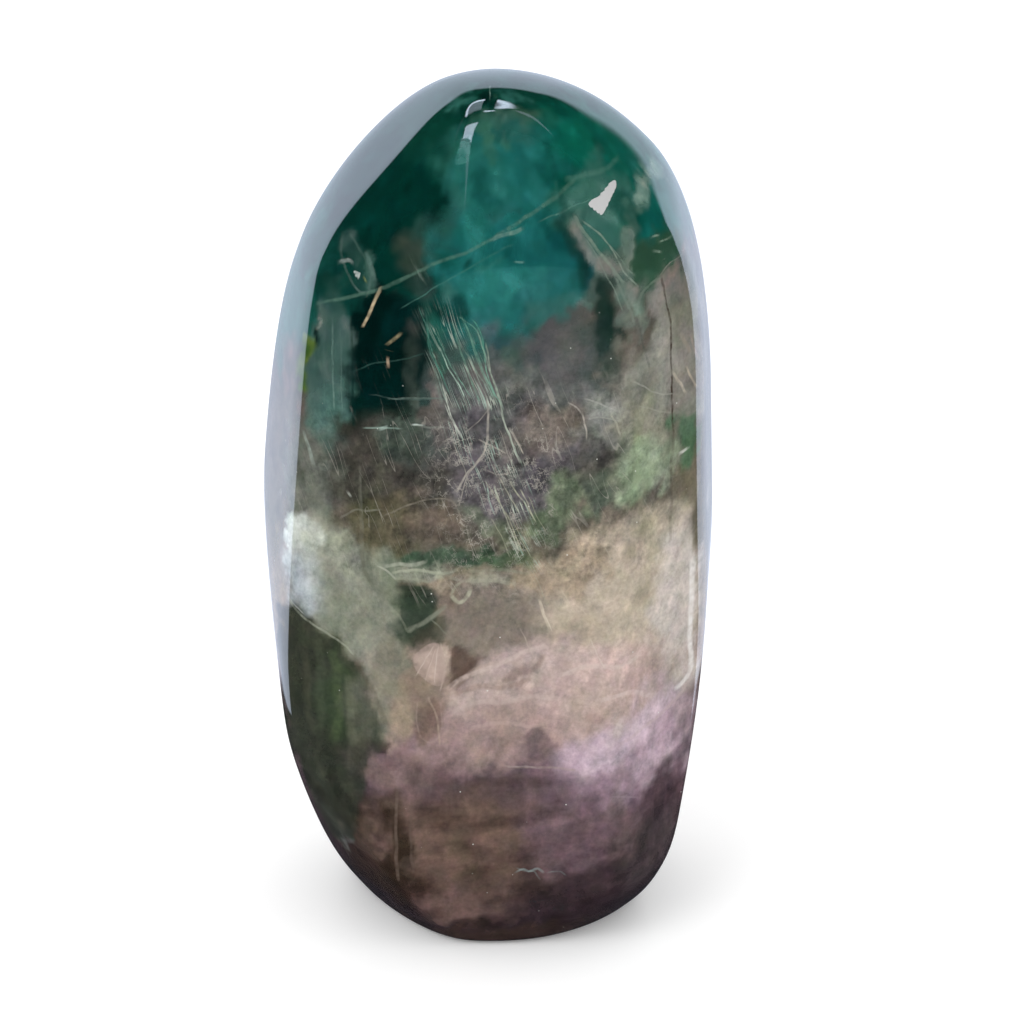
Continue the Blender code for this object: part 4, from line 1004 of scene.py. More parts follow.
@dataclass(frozen=True)
class PolishedFluorite:
    """Polished natural fluorite: glassy, see-through where it is green, clouded by veils where it is pale.

    Fluorite's index is 1.434, a little under glass, so its reflections are weak face on. The wheel left
    a wet polish. The zones' colour comes from the surface's own attribute, and clouds, fibres, veins and
    single lines, all sized in millimetres, break it up. Real healed cracks are some 0.01 mm thick: the web's
    lines and the threads are drawn about ten times as wide, so that they show.
    """

    ior: float = 1.434
    roughness: float = 0.03
    transmission: Ramp = Ramp(low=0.55, high=0.2)
    absorption_per_metre: float = 12.0
    absorbed: str = "#CFE0D4"
    mottle_mm: float = 2.0
    mottle_amount: Ramp = Ramp(low=0.30, high=0.55)
    busy_amount: float = 0.6
    mottle_light: Ramp = Ramp(0.6, 1.1, 0.62, 1.38)
    grain_mm: float = 0.45
    grain_share: float = 0.7
    hue_shift: float = 0.16
    web_mm: float = 1.5
    web_bend: float = 3.2
    web_line: Ramp = Ramp(0.01, 0.07, 0.55, 0.0)
    web_colour: str = "#BDB7AC"
    gap_mm: float = 2.2
    gaps: Ramp = Ramp(0.42, 0.58)
    glint_mm: float = 1.5
    glint_spot: Ramp = Ramp(0.03, 0.07, 0.8, 0.0)
    glints_left_out: float = 0.8
    break_mm: float = 0.8
    breaks: Ramp = Ramp(0.3, 0.6, 0.45, 1.0)
    line_core: float = 0.4
    line_reach_mm: float = 0.85

    def material(self, sets: int) -> bpy.types.Material:
        """The material, with its colour, transmission and absorption.

        Args:
            sets: how many sets of lines the mesh carries.

        Returns:
            The material.
        """
        material = bpy.data.materials.new("polished_fluorite")
        material.use_nodes = True
        tree = material.node_tree
        tree.nodes.clear()
        place = add(tree, "TexCoord", out="Object")
        masks = add(tree, "Attribute", out="Vector", attribute_name="masks")
        cloudy, fibres, busy = add(tree, "SeparateXYZ", {0: masks}, out=None)
        colour = add(tree, "Attribute", out="Color", attribute_name="zones")
        mottle = {"Vector": place, "Scale": 1 / (self.mottle_mm * MM), "Detail": 5.0, "Roughness": 0.66}
        patch = add(tree, "TexNoise", mottle, out=None)
        colour = self.mottled(tree, place, colour, cloudy, busy, patch)
        comb = add(tree, "Attribute", out="Vector", attribute_name="comb")
        u, v, web = add(tree, "SeparateXYZ", {0: comb}, out=None)
        comb = add(tree, "CombineXYZ", {0: u, 1: v})
        gaps = add(tree, "TexNoise", {"Vector": place, "Scale": 1 / (self.gap_mm * MM), "Detail": 2.0})
        shown = add(tree, "MapRange", self.gaps.of(gaps))
        web, fibres, busy = (
            add(tree, "Math", {0: mask, 1: shown}, operation="MULTIPLY") for mask in (web, fibres, busy)
        )
        colour = self.webbed(tree, place, colour, web, patch)
        for threads, mask in ((FIBRE_THREADS[0], fibres), (FIBRE_THREADS[1], fibres), (HAIR_THREADS, busy)):
            colour = self.threaded(tree, comb, colour, mask, threads)
        colour = self.glinting(tree, place, colour, cloudy)
        broken = add(tree, "TexNoise", {"Vector": place, "Scale": 1 / (self.break_mm * MM), "Detail": 1.0})
        broken = add(tree, "MapRange", self.breaks.of(broken))
        for number in range(sets):
            colour = self.lined(tree, colour, broken, number)
        surface = {
            "Base Color": colour,
            "Roughness": self.roughness,
            "IOR": self.ior,
            "Transmission Weight": add(tree, "MapRange", self.transmission.of(cloudy)),
        }
        absorption = {"Color": linear(self.absorbed), "Density": self.absorption_per_metre}
        ends = {"Surface": add(tree, "BsdfPrincipled", surface), "Volume": add(tree, "VolumeAbsorption", absorption)}
        add(tree, "OutputMaterial", ends, out=None)
        return material

    def mottled(self, tree: bpy.types.NodeTree, place: Any, colour: Any, cloudy: Any, busy: Any, patch: Any) -> Any:
        """The colour made lighter and darker, and shifted a little in hue, in patches and grain.

        Args:
            tree: the material's tree.
            place: the place's socket.
            colour: the colour's socket.
            cloudy: how cloudy the stone is.
            busy: how broken up it is.
            patch: the outputs of the patches' noise.

        Returns:
            The new colour's socket.
        """
        fine = {"Vector": place, "Scale": 1 / (self.grain_mm * MM), "Detail": 2.0, "Roughness": 0.6}
        grain = add(tree, "Math", {0: add(tree, "TexNoise", fine), 1: self.grain_share}, operation="MULTIPLY")
        both = add(tree, "Math", {0: patch[0], 1: grain}, operation="ADD")
        light = add(tree, "MapRange", self.mottle_light.of(both), clamp=False)
        grey = add(tree, "CombineXYZ", {0: light, 1: light, 2: light})
        amount = add(tree, "MapRange", self.mottle_amount.of(cloudy))
        amount = add(tree, "Math", {0: busy, 1: self.busy_amount, 2: amount}, operation="MULTIPLY_ADD")
        shaded = add(tree, "Mix", {0: 1.0, 6: colour, 7: grey}, out=2, data_type="RGBA", blend_type="MULTIPLY")
        colour = add(tree, "Mix", {0: amount, 6: colour, 7: shaded}, out=2, data_type="RGBA")
        tint = {0: self.hue_shift, 6: colour, 7: patch["Color"]}
        return add(tree, "Mix", tint, out=2, data_type="RGBA", blend_type="SOFT_LIGHT")

    def webbed(self, tree: bpy.types.NodeTree, place: Any, colour: Any, mask: Any, patch: Any) -> Any:
        """The colour with a cobweb of healed cracks: the borders of cells that the patches' noise bends.

        Args:
            tree: the material's tree.
            place: the place's socket.
            colour: the colour's socket.
            mask: how much the web shows.
            patch: the outputs of the patches' noise.

        Returns:
            The new colour's socket.
        """
        reach = (self.web_mm * MM * self.web_bend,) * 3
        bent = add(tree, "VectorMath", {0: patch["Color"], 1: reach, 2: place}, operation="MULTIPLY_ADD")
        inputs = {"Vector": bent, "Scale": 1 / (self.web_mm * MM)}
        cells = add(tree, "TexVoronoi", inputs, out="Distance", feature="DISTANCE_TO_EDGE")
        line = add(tree, "MapRange", self.web_line.of(cells))
        share = add(tree, "Math", {0: line, 1: mask}, operation="MULTIPLY")
        return add(tree, "Mix", {0: share, 6: colour, 7: linear(self.web_colour)}, out=2, data_type="RGBA")

    def threaded(self, tree: bpy.types.NodeTree, comb: Any, colour: Any, mask: Any, threads: Threads) -> Any:
        """The colour with one kind of thin line drawn in.

        Args:
            tree: the material's tree.
            comb: the socket of the offset from the guide and the length along it, in millimetres.
            colour: the colour's socket.
            mask: how much the lines show.
            threads: the kind of line.

        Returns:
            The new colour's socket.
        """
        inputs = {0: comb, 1: (1, 1 / threads.stretch, 1), 2: (threads.shift,) * 3}
        laid = add(tree, "VectorMath", inputs, operation="MULTIPLY_ADD")
        inputs = {"Vector": laid, "Scale": 1 / threads.size, "Detail": 1.0, "Distortion": threads.bend}
        off = add(tree, "Math", {0: add(tree, "TexNoise", inputs), 1: 0.5}, operation="SUBTRACT")
        away = add(tree, "Math", {0: off}, operation="ABSOLUTE")
        edge = Ramp(threads.width * self.line_core, threads.width, threads.strength, 0.0)
        line = add(tree, "MapRange", edge.of(away))
        share = add(tree, "Math", {0: line, 1: mask}, operation="MULTIPLY")
        return add(tree, "Mix", {0: share, 6: colour, 7: linear(threads.colour)}, out=2, data_type="RGBA")

    def glinting(self, tree: bpy.types.NodeTree, place: Any, colour: Any, cloudy: Any) -> Any:
        """The colour with a sprinkling of pale specks, painted highlights where tiny cleavage faces catch the light.

        Args:
            tree: the material's tree.
            place: the place's socket.
            colour: the colour's socket.
            cloudy: how cloudy the stone is.

        Returns:
            The new colour's socket.
        """
        cells = add(tree, "TexVoronoi", {"Vector": place, "Scale": 1 / (self.glint_mm * MM)}, out=None)
        speck = add(tree, "MapRange", self.glint_spot.of(cells["Distance"]))
        drawn = {0: add(tree, "SeparateColor", {0: cells["Color"]}), 1: self.glints_left_out}
        some = add(tree, "Math", drawn, operation="GREATER_THAN")
        share = add(tree, "Math", {0: speck, 1: some}, operation="MULTIPLY")
        share = add(tree, "Math", {0: share, 1: cloudy}, operation="MULTIPLY")
        return add(tree, "Mix", {0: share, 6: colour, 7: linear(Dye.PAINTED_GLINT.value)}, out=2, data_type="RGBA")

    def lined(self, tree: bpy.types.NodeTree, colour: Any, broken: Any, number: int) -> Any:
        """The colour with one set of lines drawn in, each a band about the zero of its own offset.

        Args:
            tree: the material's tree.
            colour: the colour's socket.
            broken: how much of a line shows from place to place.
            number: the set's number.

        Returns:
            The new colour's socket.
        """
        line = add(tree, "Attribute", out="Vector", attribute_name=f"line_{number}")
        offset, share, gap = add(tree, "SeparateXYZ", {0: line}, out=None)
        ink = add(tree, "Attribute", out=None, attribute_name=f"ink_{number}")
        away = add(tree, "Math", {0: offset}, operation="ABSOLUTE")
        core = add(tree, "Math", {0: ink["Alpha"], 1: self.line_core}, operation="MULTIPLY")
        shown = add(tree, "MapRange", {0: away, 1: core, 2: ink["Alpha"], 3: 1.0, 4: 0.0})
        clear = add(tree, "Math", {0: gap, 1: self.line_reach_mm}, operation="LESS_THAN")
        for factor in (clear, share, broken):
            shown = add(tree, "Math", {0: shown, 1: factor}, operation="MULTIPLY")
        return add(tree, "Mix", {0: shown, 6: colour, 7: ink["Color"]}, out=2, data_type="RGBA")


@dataclass(frozen=True)
class Stone:
    """The fluorite: an upright block with an oval section, a blunt dome and ground flats.

    The shape's sizes are in metres. The colour's sizes are in millimetres: how far in front of the middle
    the fine details start, and the lengths and reaches of the ripples that fray the zones.
    """

    height: float = 0.100
    widest_level: float = 0.0298
    left_reach: float = 0.0269
    right_reach: float = 0.0308
    front_reach: float = 0.0283
    back_reach: float = 0.0200
    foot_reach: float = 0.0364
    top_lean: float = 0.0006
    foot_lean: float = 0.0002
    base_edge_round: float = 0.0008
    dome_fullness: float = 3.2
    foot_fullness: float = 2.0
    section_fullness: float = 1.9
    middle: tuple[float, float, float] = (0.0, 0.0, 0.050)
    sides: int = 320
    rings: int = 306
    crowding: float = 0.35
    trace: int = 900
    halvings: int = 40
    details_start: float = 2.0
    details_softness: float = 6.0
    fray_seed: int = 31
    fray_sizes: tuple[tuple[float, float], ...] = ((9.0, 1.3), (3.2, 0.75), (1.3, 0.4))
    patch_fray: float = 0.6
    zones_ripple: Wander = Wander(((0.5, 7, 11),))
    finish: PolishedFluorite = field(default_factory=PolishedFluorite)
    flats: tuple[Flat, ...] = (
        Flat(-68.6, 5.1, 0.0250, 0.0020),
        Flat(79.3, 2.4, 0.0254, 0.0015),
        Flat(-66, 41.3, 0.0371, 0.0020),
        Flat(-94.4, -9.9, 0.0271, 0.0025),
        Flat(84.2, 15.7, 0.0304, 0.0025),
        Flat(8, 50, 0.0440, 0.0030),
        Flat(172, -2, 0.0178, 0.0025),
        Flat(224, 5, 0.0212, 0.0030),
        Flat(130, 2, 0.0208, 0.0025),
        Flat(-54, -27.7, 0.0372, 0.0040),
        Flat(96, -10.9, 0.0271, 0.0025),
        Flat(-35.1, 33, 0.0333, 0.0012),
        Flat(58.8, 46.1, 0.0408, 0.0012),
        Flat(42, 2, 0.0227, 0.0015),
        Flat(-25, 4, 0.0204, 0.0025),
        Flat(3, 36, 0.0343, 0.0012),
        Flat(3, 3, 0.0186, 0.0022),
        Flat(2, -10, 0.0255, 0.0015),
    )

    def surface(self, turn: np.ndarray, rise: np.ndarray) -> np.ndarray:
        """The ground surface at given angles.

        With h = sin(rise), the section's scale is sqrt(1 - |h|^fullness), z is the widest level plus
        reach * h, and x and y are the reaches times the scale times cos(turn) and sin(turn) with their
        sizes raised to 2 / section fullness. The flats are ground in, and x leans by the height squared.

        Args:
            turn: angle round the section, from the right side through the back.
            rise: 0 at the widest level, a right angle at the top.

        Returns:
            The points, with x, y and z last.
        """
        level = np.sin(rise)
        reach = np.where(rise > 0, self.height - self.widest_level, self.foot_reach)
        fullness = np.where(rise > 0, self.dome_fullness, self.foot_fullness)
        scale = np.sqrt(np.clip(1 - np.abs(level) ** fullness, 0, None))
        power = 2 / self.section_fullness
        across = np.sign(np.cos(turn)) * np.abs(np.cos(turn)) ** power
        deep = np.sign(np.sin(turn)) * np.abs(np.sin(turn)) ** power
        x = across * scale * np.where(across < 0, self.left_reach, self.right_reach)
        y = deep * scale * np.where(deep < 0, self.front_reach, self.back_reach)
        points = np.stack([x, y, self.widest_level + reach * level], axis=-1)
        for flat in self.flats:
            points = flat.grind(points, np.array(self.middle))
        up = points[..., 2] - self.widest_level
        above = self.top_lean * (up / (self.height - self.widest_level)) ** 2
        below = self.foot_lean * (up / self.widest_level) ** 2
        points[..., 0] += np.where(up > 0, above, below)
        return points

    def base_rise(self, turn: np.ndarray) -> np.ndarray:
        """The rise at which each upright line meets z = 0, by halving.

        Args:
            turn: the lines' angles round the section.

        Returns:
            The rises, in radians.
        """
        low, high = np.full(turn.shape, -np.pi / 2), np.zeros(turn.shape)
        for _ in range(self.halvings):
            half = (low + high) / 2
            under = self.surface(turn, half)[..., 2] < 0
            low, high = np.where(under, half, low), np.where(under, high, half)
        return high

    def evened(self, lines: np.ndarray) -> np.ndarray:
        """The upright lines cut in equal steps.

        Each line's walked length is moved past the end of the line before it, so that one interpolation
        reads all the lines.

        Args:
            lines: traced points by step, line and axis.

        Returns:
            The points by ring, line and axis.
        """
        steps = np.linalg.norm(np.diff(lines, axis=0), axis=-1)
        walked = np.vstack([np.zeros(lines.shape[1]), np.cumsum(steps, axis=0)])
        start = np.arange(lines.shape[1]) * 2 * walked.max()
        known = (walked + start).T.ravel()
        wanted = (np.linspace(0, 1, self.rings)[:, None] * walked[-1] + start).T.ravel()
        read = [np.interp(wanted, known, lines[..., axis].T.ravel()) for axis in range(3)]
        return np.stack(read, axis=-1).reshape(lines.shape[1], self.rings, 3).transpose(1, 0, 2)

    def grid(self) -> np.ndarray:
        """The whole surface from the base's edge to the top, fitted into the box of the frame's solid.

        The upright lines stand closer together in front: with u in equal steps, a line's turn is
        u - crowding * cos(u). At a height z under the edge's radius r the wall is drawn in by
        r * (1 - sqrt(1 - (1 - z / r) ** 2)).

        Returns:
            The points by ring, side and axis, in metres.
        """
        even = np.linspace(0, 2 * np.pi, self.sides, endpoint=False)
        turn = even - self.crowding * np.cos(even)
        foot = self.base_rise(turn)
        rise = foot + (np.pi / 2 - foot) * np.linspace(0, 1, self.trace)[:, None]
        points = self.evened(self.surface(np.broadcast_to(turn, rise.shape), rise))
        points[0, :, 2] = 0
        share = np.clip(1 - points[..., 2] / self.base_edge_round, 0, 1)
        inward = self.base_edge_round * (1 - np.sqrt(1 - share**2))
        points[..., :2] *= (1 - inward / np.maximum(np.hypot(points[..., 0], points[..., 1]), 1e-9))[..., None]
        low, high = (np.array(corner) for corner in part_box(NODE))
        least, most = points.min(axis=(0, 1)), points.max(axis=(0, 1))
        return low + (points - least) * (high - low) / (most - least)

    def base_colour(self, points: np.ndarray) -> np.ndarray:
        """The bands from the top down: green, smoky, sandy, mauve and dark, before the zones.

        The bands above the middle climb to the right, and all of them wander.

        Args:
            points: places in millimetres.

        Returns:
            Linear red, green and blue.
        """
        climb = BANDS_CLIMB * points[..., 0] * CLIMB_STARTS.passed(points, np.zeros(len(points)))
        level = points[..., 2] - climb + BANDS_WANDER.at(points)
        heights = [height for height, _ in BANDS]
        shades = np.array([linear(dye.value)[:3] for _, dye in BANDS])
        return np.stack([np.interp(level, heights, shades[:, axis]) for axis in range(3)], axis=-1)

    def bent(self, points: np.ndarray) -> np.ndarray:
        """The places moved by ripples of several sizes, so that a zone's border frays as it is read.

        Args:
            points: places in millimetres.

        Returns:
            The moved places.
        """
        moves = [
            [reach * Ripples(length, self.fray_seed + 3 * number + axis).at(points) for axis in range(3)]
            for number, (length, reach) in enumerate(self.fray_sizes)
        ]
        return points + np.moveaxis(np.sum(moves, axis=0), 0, -1)

    def coloured(self, points: np.ndarray) -> np.ndarray:
        """The bands with every zone laid over them in turn.

        Args:
            points: places in millimetres.

        Returns:
            Linear red, green and blue.
        """
        bent = self.bent(points)
        colour = self.base_colour(bent)
        ripple = self.zones_ripple.at(points)
        for zone in ZONES:
            weight = zone.weight(bent, ripple)[..., None]
            colour = colour * (1 - weight) + np.array(linear(zone.colour)[:3]) * weight
        frayed = points + self.patch_fray * (bent - points)
        for patch in PATCHES:
            colour = patch.laid(frayed, colour)
        regions = self.regions(points)
        for cloud in CLOUDS:
            weight = (cloud.weight(points) * regions[cloud.region])[..., None]
            colour = colour * np.array(cloud.shade) ** weight
        return np.minimum(colour, 1)

    def regions(self, points: np.ndarray) -> dict[Region, np.ndarray]:
        """How much each point belongs to each region.

        Args:
            points: places in millimetres.

        Returns:
            A share of 0 to 1 for each point, by region.
        """
        ripple = REGIONS_RIPPLE.at(points)
        green = GREEN_STARTS.passed(points, ripple)
        slant = SLANT_STARTS.passed(points, ripple) * (1 - SLANT_ENDS.passed(points, ripple))
        return {
            Region.CLOUDY: (1 - green) * (1 - SLANT_CALM * slant),
            Region.BUSY: BUSY.weight(points, ripple),
            Region.GREEN: green,
            Region.LEVEL: 1 - LEVEL_ENDS.passed(points, ripple),
            Region.SLANT: slant,
        }

    def masks(self, points: np.ndarray) -> dict[str, np.ndarray]:
        """Where the fine details lie.

        Args:
            points: places in millimetres.

        Returns:
            "masks": how cloudy, how fibrous and how broken up each point is. "comb": the offset from the
            fibres' guide and the length walked along it, in millimetres, and how much the web shows.
        """
        ripple = REGIONS_RIPPLE.at(points)
        front = in_front(points, self.details_start, self.details_softness)
        cloudy = 1 - self.regions(points)[Region.GREEN]
        fibres = FIBRES.weight(points, ripple) * front
        busy = self.regions(points)[Region.BUSY] * front
        web = WEB.weight(points, ripple) * front
        offset, _, along = walked(points[:, [0, 2]], np.array(GUIDE))
        offset += GUIDE_WANDER.at(points)
        return {
            "masks": np.stack([cloudy, fibres, busy], axis=-1),
            "comb": np.stack([offset, along, web], axis=-1),
        }

    def mesh(self) -> tuple[bpy.types.Mesh, np.ndarray]:
        """The closed mesh: quads from ring to ring, a fan at the top and one face for the base.

        Returns:
            The mesh, and its points in millimetres.
        """
        points = self.grid()
        rings, sides = self.rings - 1, self.sides
        verts = np.vstack([points[:-1].reshape(-1, 3), points[-1, :1]])
        index = np.arange(rings * sides).reshape(rings, sides)
        beside = np.roll(index, -1, axis=1)
        quads = np.stack([index[:-1], beside[:-1], beside[1:], index[1:]], axis=-1).reshape(-1, 4)
        fan = np.stack([index[-1], beside[-1], np.full(sides, rings * sides)], axis=-1)
        mesh = bpy.data.meshes.new("fluorite")
        mesh.from_pydata(verts.tolist(), [], quads.tolist() + fan.tolist() + [index[0, ::-1].tolist()])
        mesh.shade_smooth()
        return mesh, verts / MM

    def build(self) -> bpy.types.Object:
        """The finished stone on its body.

        Returns:
            The stone's object.
        """
        mesh, places = self.mesh()
        sets = drawings(LINES)
        self.paint(mesh, places, sets)
        mesh.materials.append(self.finish.material(len(sets)))
        stone = bpy.data.objects.new("fluorite", mesh)
        bpy.context.scene.collection.objects.link(stone)
        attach(stone, "root")
        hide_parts(NODE)
        log.info("stone: %d faces, %d sets of lines", len(mesh.polygons), len(sets))
        return stone

    def paint(self, mesh: bpy.types.Mesh, places: np.ndarray, sets: list[Drawing]) -> None:
        """Writes the colour, the masks and the lines on the mesh's points.

        Args:
            mesh: the stone's mesh.
            places: its points in millimetres.
            sets: the sets of lines.
        """
        colours = {"zones": np.column_stack([self.coloured(places), np.ones(len(places))])}
        vectors = self.masks(places)
        for number, drawing in enumerate(sets):
            vectors[f"line_{number}"], colours[f"ink_{number}"] = drawing.drawn(places)
        for name, values in colours.items():
            layer = mesh.attributes.new(name, "FLOAT_COLOR", "POINT")
            layer.data.foreach_set("color", values.astype(np.float32).ravel())
        for name, values in vectors.items():
            layer = mesh.attributes.new(name, "FLOAT_VECTOR", "POINT")
            layer.data.foreach_set("vector", values.astype(np.float32).ravel())


@dataclass(frozen=True)
class Panel:
    """An oval or a box in the upper half of the room, measured on the direction's x and y.

    The turn is the angle in degrees from x towards y at which the first half width lies. The light fades
    over the edge, in shares of the half widths.
    """

    centre: tuple[float, float]
    half_widths: tuple[float, float]
    turn: float = 0.0
    square: bool = False
    edge: Ramp = Ramp(0.9, 1.02, 1.0, 0.0)

    def lit(self, tree: bpy.types.NodeTree, way: Any) -> Any:
        """Where the panel lies.

        Args:
            tree: the world's tree.
            way: the direction's socket.

        Returns:
            A socket, 1 inside and 0 outside.
        """
        inputs = {
            "Vector": way,
            "Location": (*self.centre, 0),
            "Rotation": (0, 0, math.radians(self.turn)),
            "Scale": (*self.half_widths, 1e6),
        }
        laid = add(tree, "Mapping", inputs, vector_type="TEXTURE")
        if self.square:
            x, y, _ = add(tree, "SeparateXYZ", {0: add(tree, "VectorMath", {0: laid}, operation="ABSOLUTE")}, out=None)
            reach = add(tree, "Math", {0: x, 1: y}, operation="MAXIMUM")
        else:
            reach = add(tree, "VectorMath", {0: laid}, out="Value", operation="LENGTH")
        inside = add(tree, "MapRange", self.edge.of(reach))
        height = add(tree, "SeparateXYZ", {0: way}, out="Z")
        upper = add(tree, "Math", {0: height, 1: 0.0}, operation="GREATER_THAN")
        return add(tree, "Math", {0: inside, 1: upper}, operation="MULTIPLY")


@dataclass(frozen=True)
class MattWhiteFloor:
    """Matt white paint, with no gloss. A little glow keeps it as white as the photo's ground."""

    colour: str = "#FDFDFD"
    glow: float = 0.12

    def material(self) -> bpy.types.Material:
        """The paint's material.

        Returns:
            The material.
        """
        material = bpy.data.materials.new("matt_white_floor")
        material.use_nodes = True
        shader = material.node_tree.nodes["Principled BSDF"]
        shader.inputs["Base Color"].default_value = linear(self.colour)
        shader.inputs["Emission Color"].default_value = (1, 1, 1, 1)
        shader.inputs["Emission Strength"].default_value = self.glow
        shader.inputs["Roughness"].default_value = 1.0
        shader.inputs["Specular IOR Level"].default_value = 0.0
        return material


@dataclass(frozen=True)
class Studio:
    """The floor, the camera and the soft light. Angles in degrees, sizes in metres.

    In reflections alone the stone sees a dark room with a bright screen behind the stone, which makes its
    pale rims, and a window high in front. The window is an arch, a stem and a lens at the stone's top,
    with two panes under them.
    """

    camera_elevation: float = 22.0
    camera_distance: float = 0.380
    aim_height: float = 0.050
    focal_px: float = 3298.4
    frame_px: float = 1024.0
    centre_px: tuple[float, float] = (488.0, 496.6)
    sensor_mm: float = 36.0
    floor_side: float = 6.0
    floor_finish: MattWhiteFloor = MattWhiteFloor()
    rim_angle: float = 66.5
    rim_softness: float = 1.5
    rim_growth: Ramp = Ramp(20, 68, 1.4, 4.6)
    rim_foot: float = -25.5
    foot_softness: float = 0.5
    rim_fading: Ramp = Ramp(10, 60, 0.86, 0.56)
    room_colour: str = "#DEE9FF"
    room_glow: float = 0.03
    plain_light: float = 1.12
    light_through: float = 0.5
    outer_arch: Panel = Panel((-0.12, -0.12), (0.255, 0.325))
    inner_arch: Panel = Panel((-0.12, -0.12), (0.205, 0.255))
    stem: Panel = Panel((0.005, 0.10), (0.05, 0.35), square=True)
    arch_foot: Panel = Panel((-0.12, -0.72), (1.0, 0.5), square=True)
    panes: tuple[tuple[Panel, float], ...] = (
        (Panel((0.025, -0.305), (0.04, 0.018)), 20.0),
        (Panel((-0.155, -0.465), (0.135, 0.036), -17, square=True), 13.0),
        (Panel((-0.20, -0.50), (0.16, 0.02), -17, square=True), 2.0),
        (Panel((0.165, -0.34), (0.10, 0.02), -68), 3.0),
        (Panel((-0.44, -0.27), (0.12, 0.025), 53), 0.5),
    )
    arch_light: float = 20.0
    lens_light: float = 4.5
    lamp_side: float = 0.5
    lamp_watts: float = 1.6
    lamp_place: tuple[float, float, float] = (-0.45, -0.55, 0.75)

    def floor(self) -> None:
        """A pale floor, which reflections and refractions don't see."""
        half = self.floor_side / 2
        mesh = bpy.data.meshes.new("floor")
        mesh.from_pydata([(-half, -half, 0), (half, -half, 0), (half, half, 0), (-half, half, 0)], [], [(0, 1, 2, 3)])
        mesh.materials.append(self.floor_finish.material())
        floor = bpy.data.objects.new("floor", mesh)
        bpy.context.scene.collection.objects.link(floor)
        floor.visible_glossy = False
        floor.visible_transmission = False

    def camera(self) -> None:
        """The camera at the photo's viewing angle."""
        rise = math.radians(self.camera_elevation)
        data = bpy.data.cameras.new("camera")
        data.sensor_width = self.sensor_mm
        data.lens = self.focal_px * self.sensor_mm / self.frame_px
        data.shift_x = (self.frame_px / 2 - self.centre_px[0]) / self.frame_px
        data.shift_y = (self.centre_px[1] - self.frame_px / 2) / self.frame_px
        camera = bpy.data.objects.new("camera", data)
        away = self.camera_distance
        camera.location = (0, -away * math.cos(rise), self.aim_height + away * math.sin(rise))
        camera.rotation_euler = (math.pi / 2 - rise, 0, 0)
        bpy.context.scene.collection.objects.link(camera)
        bpy.context.scene.camera = camera

    def world(self) -> None:
        """The light from all round: plain white, a dimmer white through the stone, and the room in reflections."""
        world = bpy.data.worlds.new("studio")
        world.use_nodes = True
        bpy.context.scene.world = world
        tree = world.node_tree
        tree.nodes.clear()
        way = add(tree, "TexCoord", out="Generated")
        strength = add(tree, "Math", {0: self.screen(tree, way), 1: self.room_glow}, operation="ADD")
        inner, stem, foot = (panel.lit(tree, way) for panel in (self.inner_arch, self.stem, self.arch_foot))
        arch = self.cut(tree, self.outer_arch.lit(tree, way), inner, stem, foot)
        lens = self.cut(tree, inner, stem, foot)
        panes = [(panel.lit(tree, way), power) for panel, power in self.panes]
        for light, power in ((arch, self.arch_light), (lens, self.lens_light), *panes):
            strength = add(tree, "Math", {0: light, 1: power, 2: strength}, operation="MULTIPLY_ADD")
        room = add(tree, "Background", {0: linear(self.room_colour), 1: strength})
        plain = add(tree, "Background", {0: (1, 1, 1, 1), 1: self.plain_light})
        through = add(tree, "Background", {0: (1, 1, 1, 1), 1: self.light_through})
        path = add(tree, "LightPath", out=None)
        first = add(tree, "MixShader", {0: path["Is Transmission Ray"], 1: plain, 2: through})
        both = add(tree, "MixShader", {0: path["Is Glossy Ray"], 1: first, 2: room})
        add(tree, "OutputWorld", {0: both}, out=None)

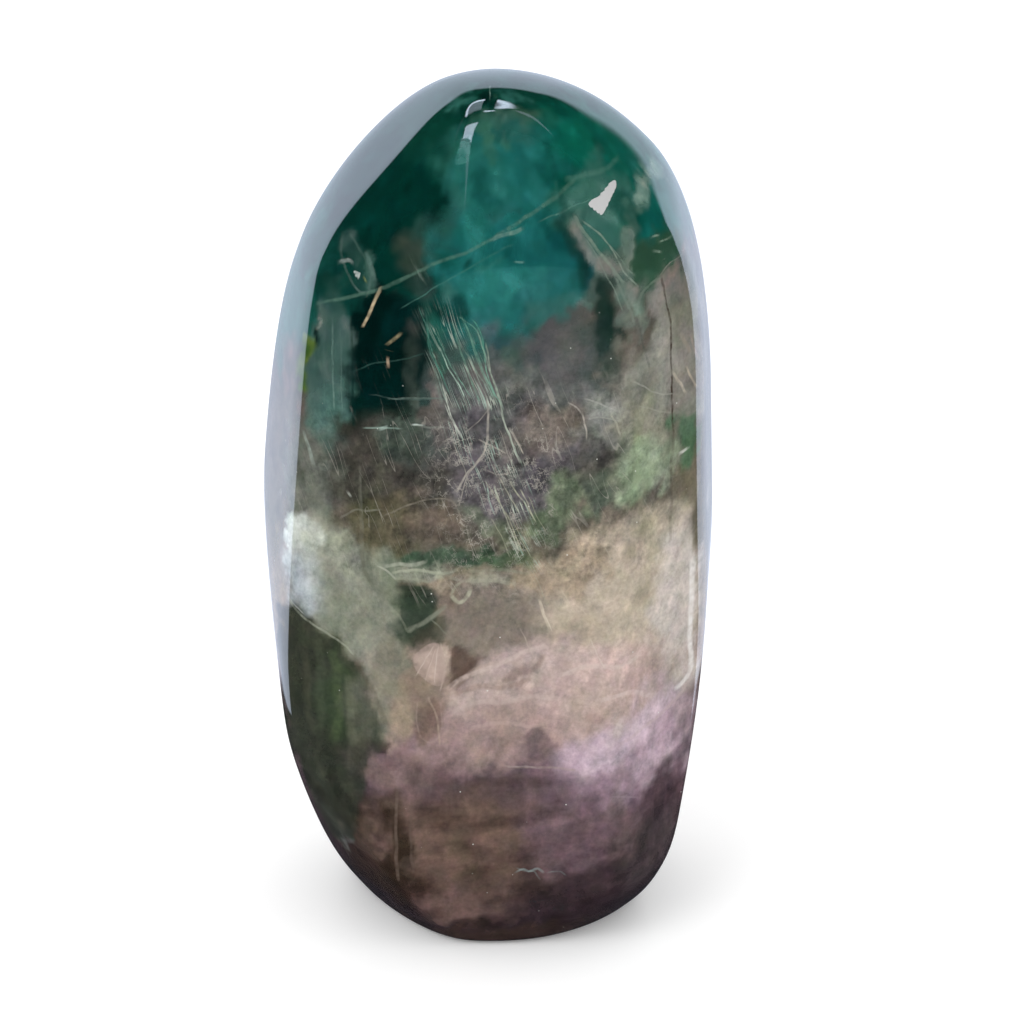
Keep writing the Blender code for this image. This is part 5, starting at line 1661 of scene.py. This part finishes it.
    def screen(self, tree: bpy.types.NodeTree, way: Any) -> Any:
        """The bright screen behind the stone.

        It fills a cone about the way that the camera looks, down to a low edge. It grows brighter away
        from the cone's middle, and dimmer upwards.

        Args:
            tree: the world's tree.
            way: the direction's socket.

        Returns:
            The socket of its strength.
        """
        rise = math.radians(self.camera_elevation)
        ahead = {0: way, 1: (0, math.cos(rise), -math.sin(rise))}
        dot = add(tree, "VectorMath", ahead, out="Value", operation="DOT_PRODUCT")
        angle = add(tree, "Math", {0: dot}, operation="ARCCOSINE")
        height = add(tree, "Math", {0: add(tree, "SeparateXYZ", {0: way}, out="Z")}, operation="ARCSINE")
        cone = Ramp(self.rim_angle + self.rim_softness, self.rim_angle - self.rim_softness)
        foot = Ramp(self.rim_foot - self.foot_softness, self.rim_foot + self.foot_softness)
        strength: Any = 1.0
        for value, shape, ramp in (
            (angle, "SMOOTHSTEP", cone),
            (height, "SMOOTHSTEP", foot),
            (angle, "LINEAR", self.rim_growth),
            (height, "LINEAR", self.rim_fading),
        ):
            inputs = ramp.of(value) | {1: math.radians(ramp.start), 2: math.radians(ramp.end)}
            share = add(tree, "MapRange", inputs, interpolation_type=shape)
            strength = add(tree, "Math", {0: share, 1: strength}, operation="MULTIPLY")
        return strength

    def cut(self, tree: bpy.types.NodeTree, shape: Any, *holes: Any) -> Any:
        """A shape with others taken out of it.

        Args:
            tree: the world's tree.
            shape: the shape's socket.
            holes: the others' sockets.

        Returns:
            A socket, 1 in what is left.
        """
        for hole in holes:
            shape = add(tree, "Math", {0: shape, 1: hole}, operation="SUBTRACT", use_clamp=True)
        return shape

    def lamp(self) -> None:
        """A broad soft lamp high on the left, in front."""
        data = bpy.data.lights.new("soft_lamp", "AREA")
        data.shape = "SQUARE"
        data.size = self.lamp_side
        data.energy = self.lamp_watts
        lamp = bpy.data.objects.new("soft_lamp", data)
        lamp.location = self.lamp_place
        lamp.rotation_euler = (Vector((0, 0, self.aim_height)) - lamp.location).to_track_quat("-Z", "Y").to_euler()
        lamp.visible_glossy = False
        bpy.context.scene.collection.objects.link(lamp)

    def build(self) -> None:
        """Everything round the stone."""
        self.floor()
        self.camera()
        self.world()
        self.lamp()
        bpy.context.scene.view_settings.view_transform = "Standard"
        log.info("studio built")


def main() -> None:
    """Builds the stone, then the studio round it."""
    logging.basicConfig(level=logging.INFO)
    Stone().build()
    Studio().build()
    log.info("sizes written")


if __name__ == "__main__":
    main()
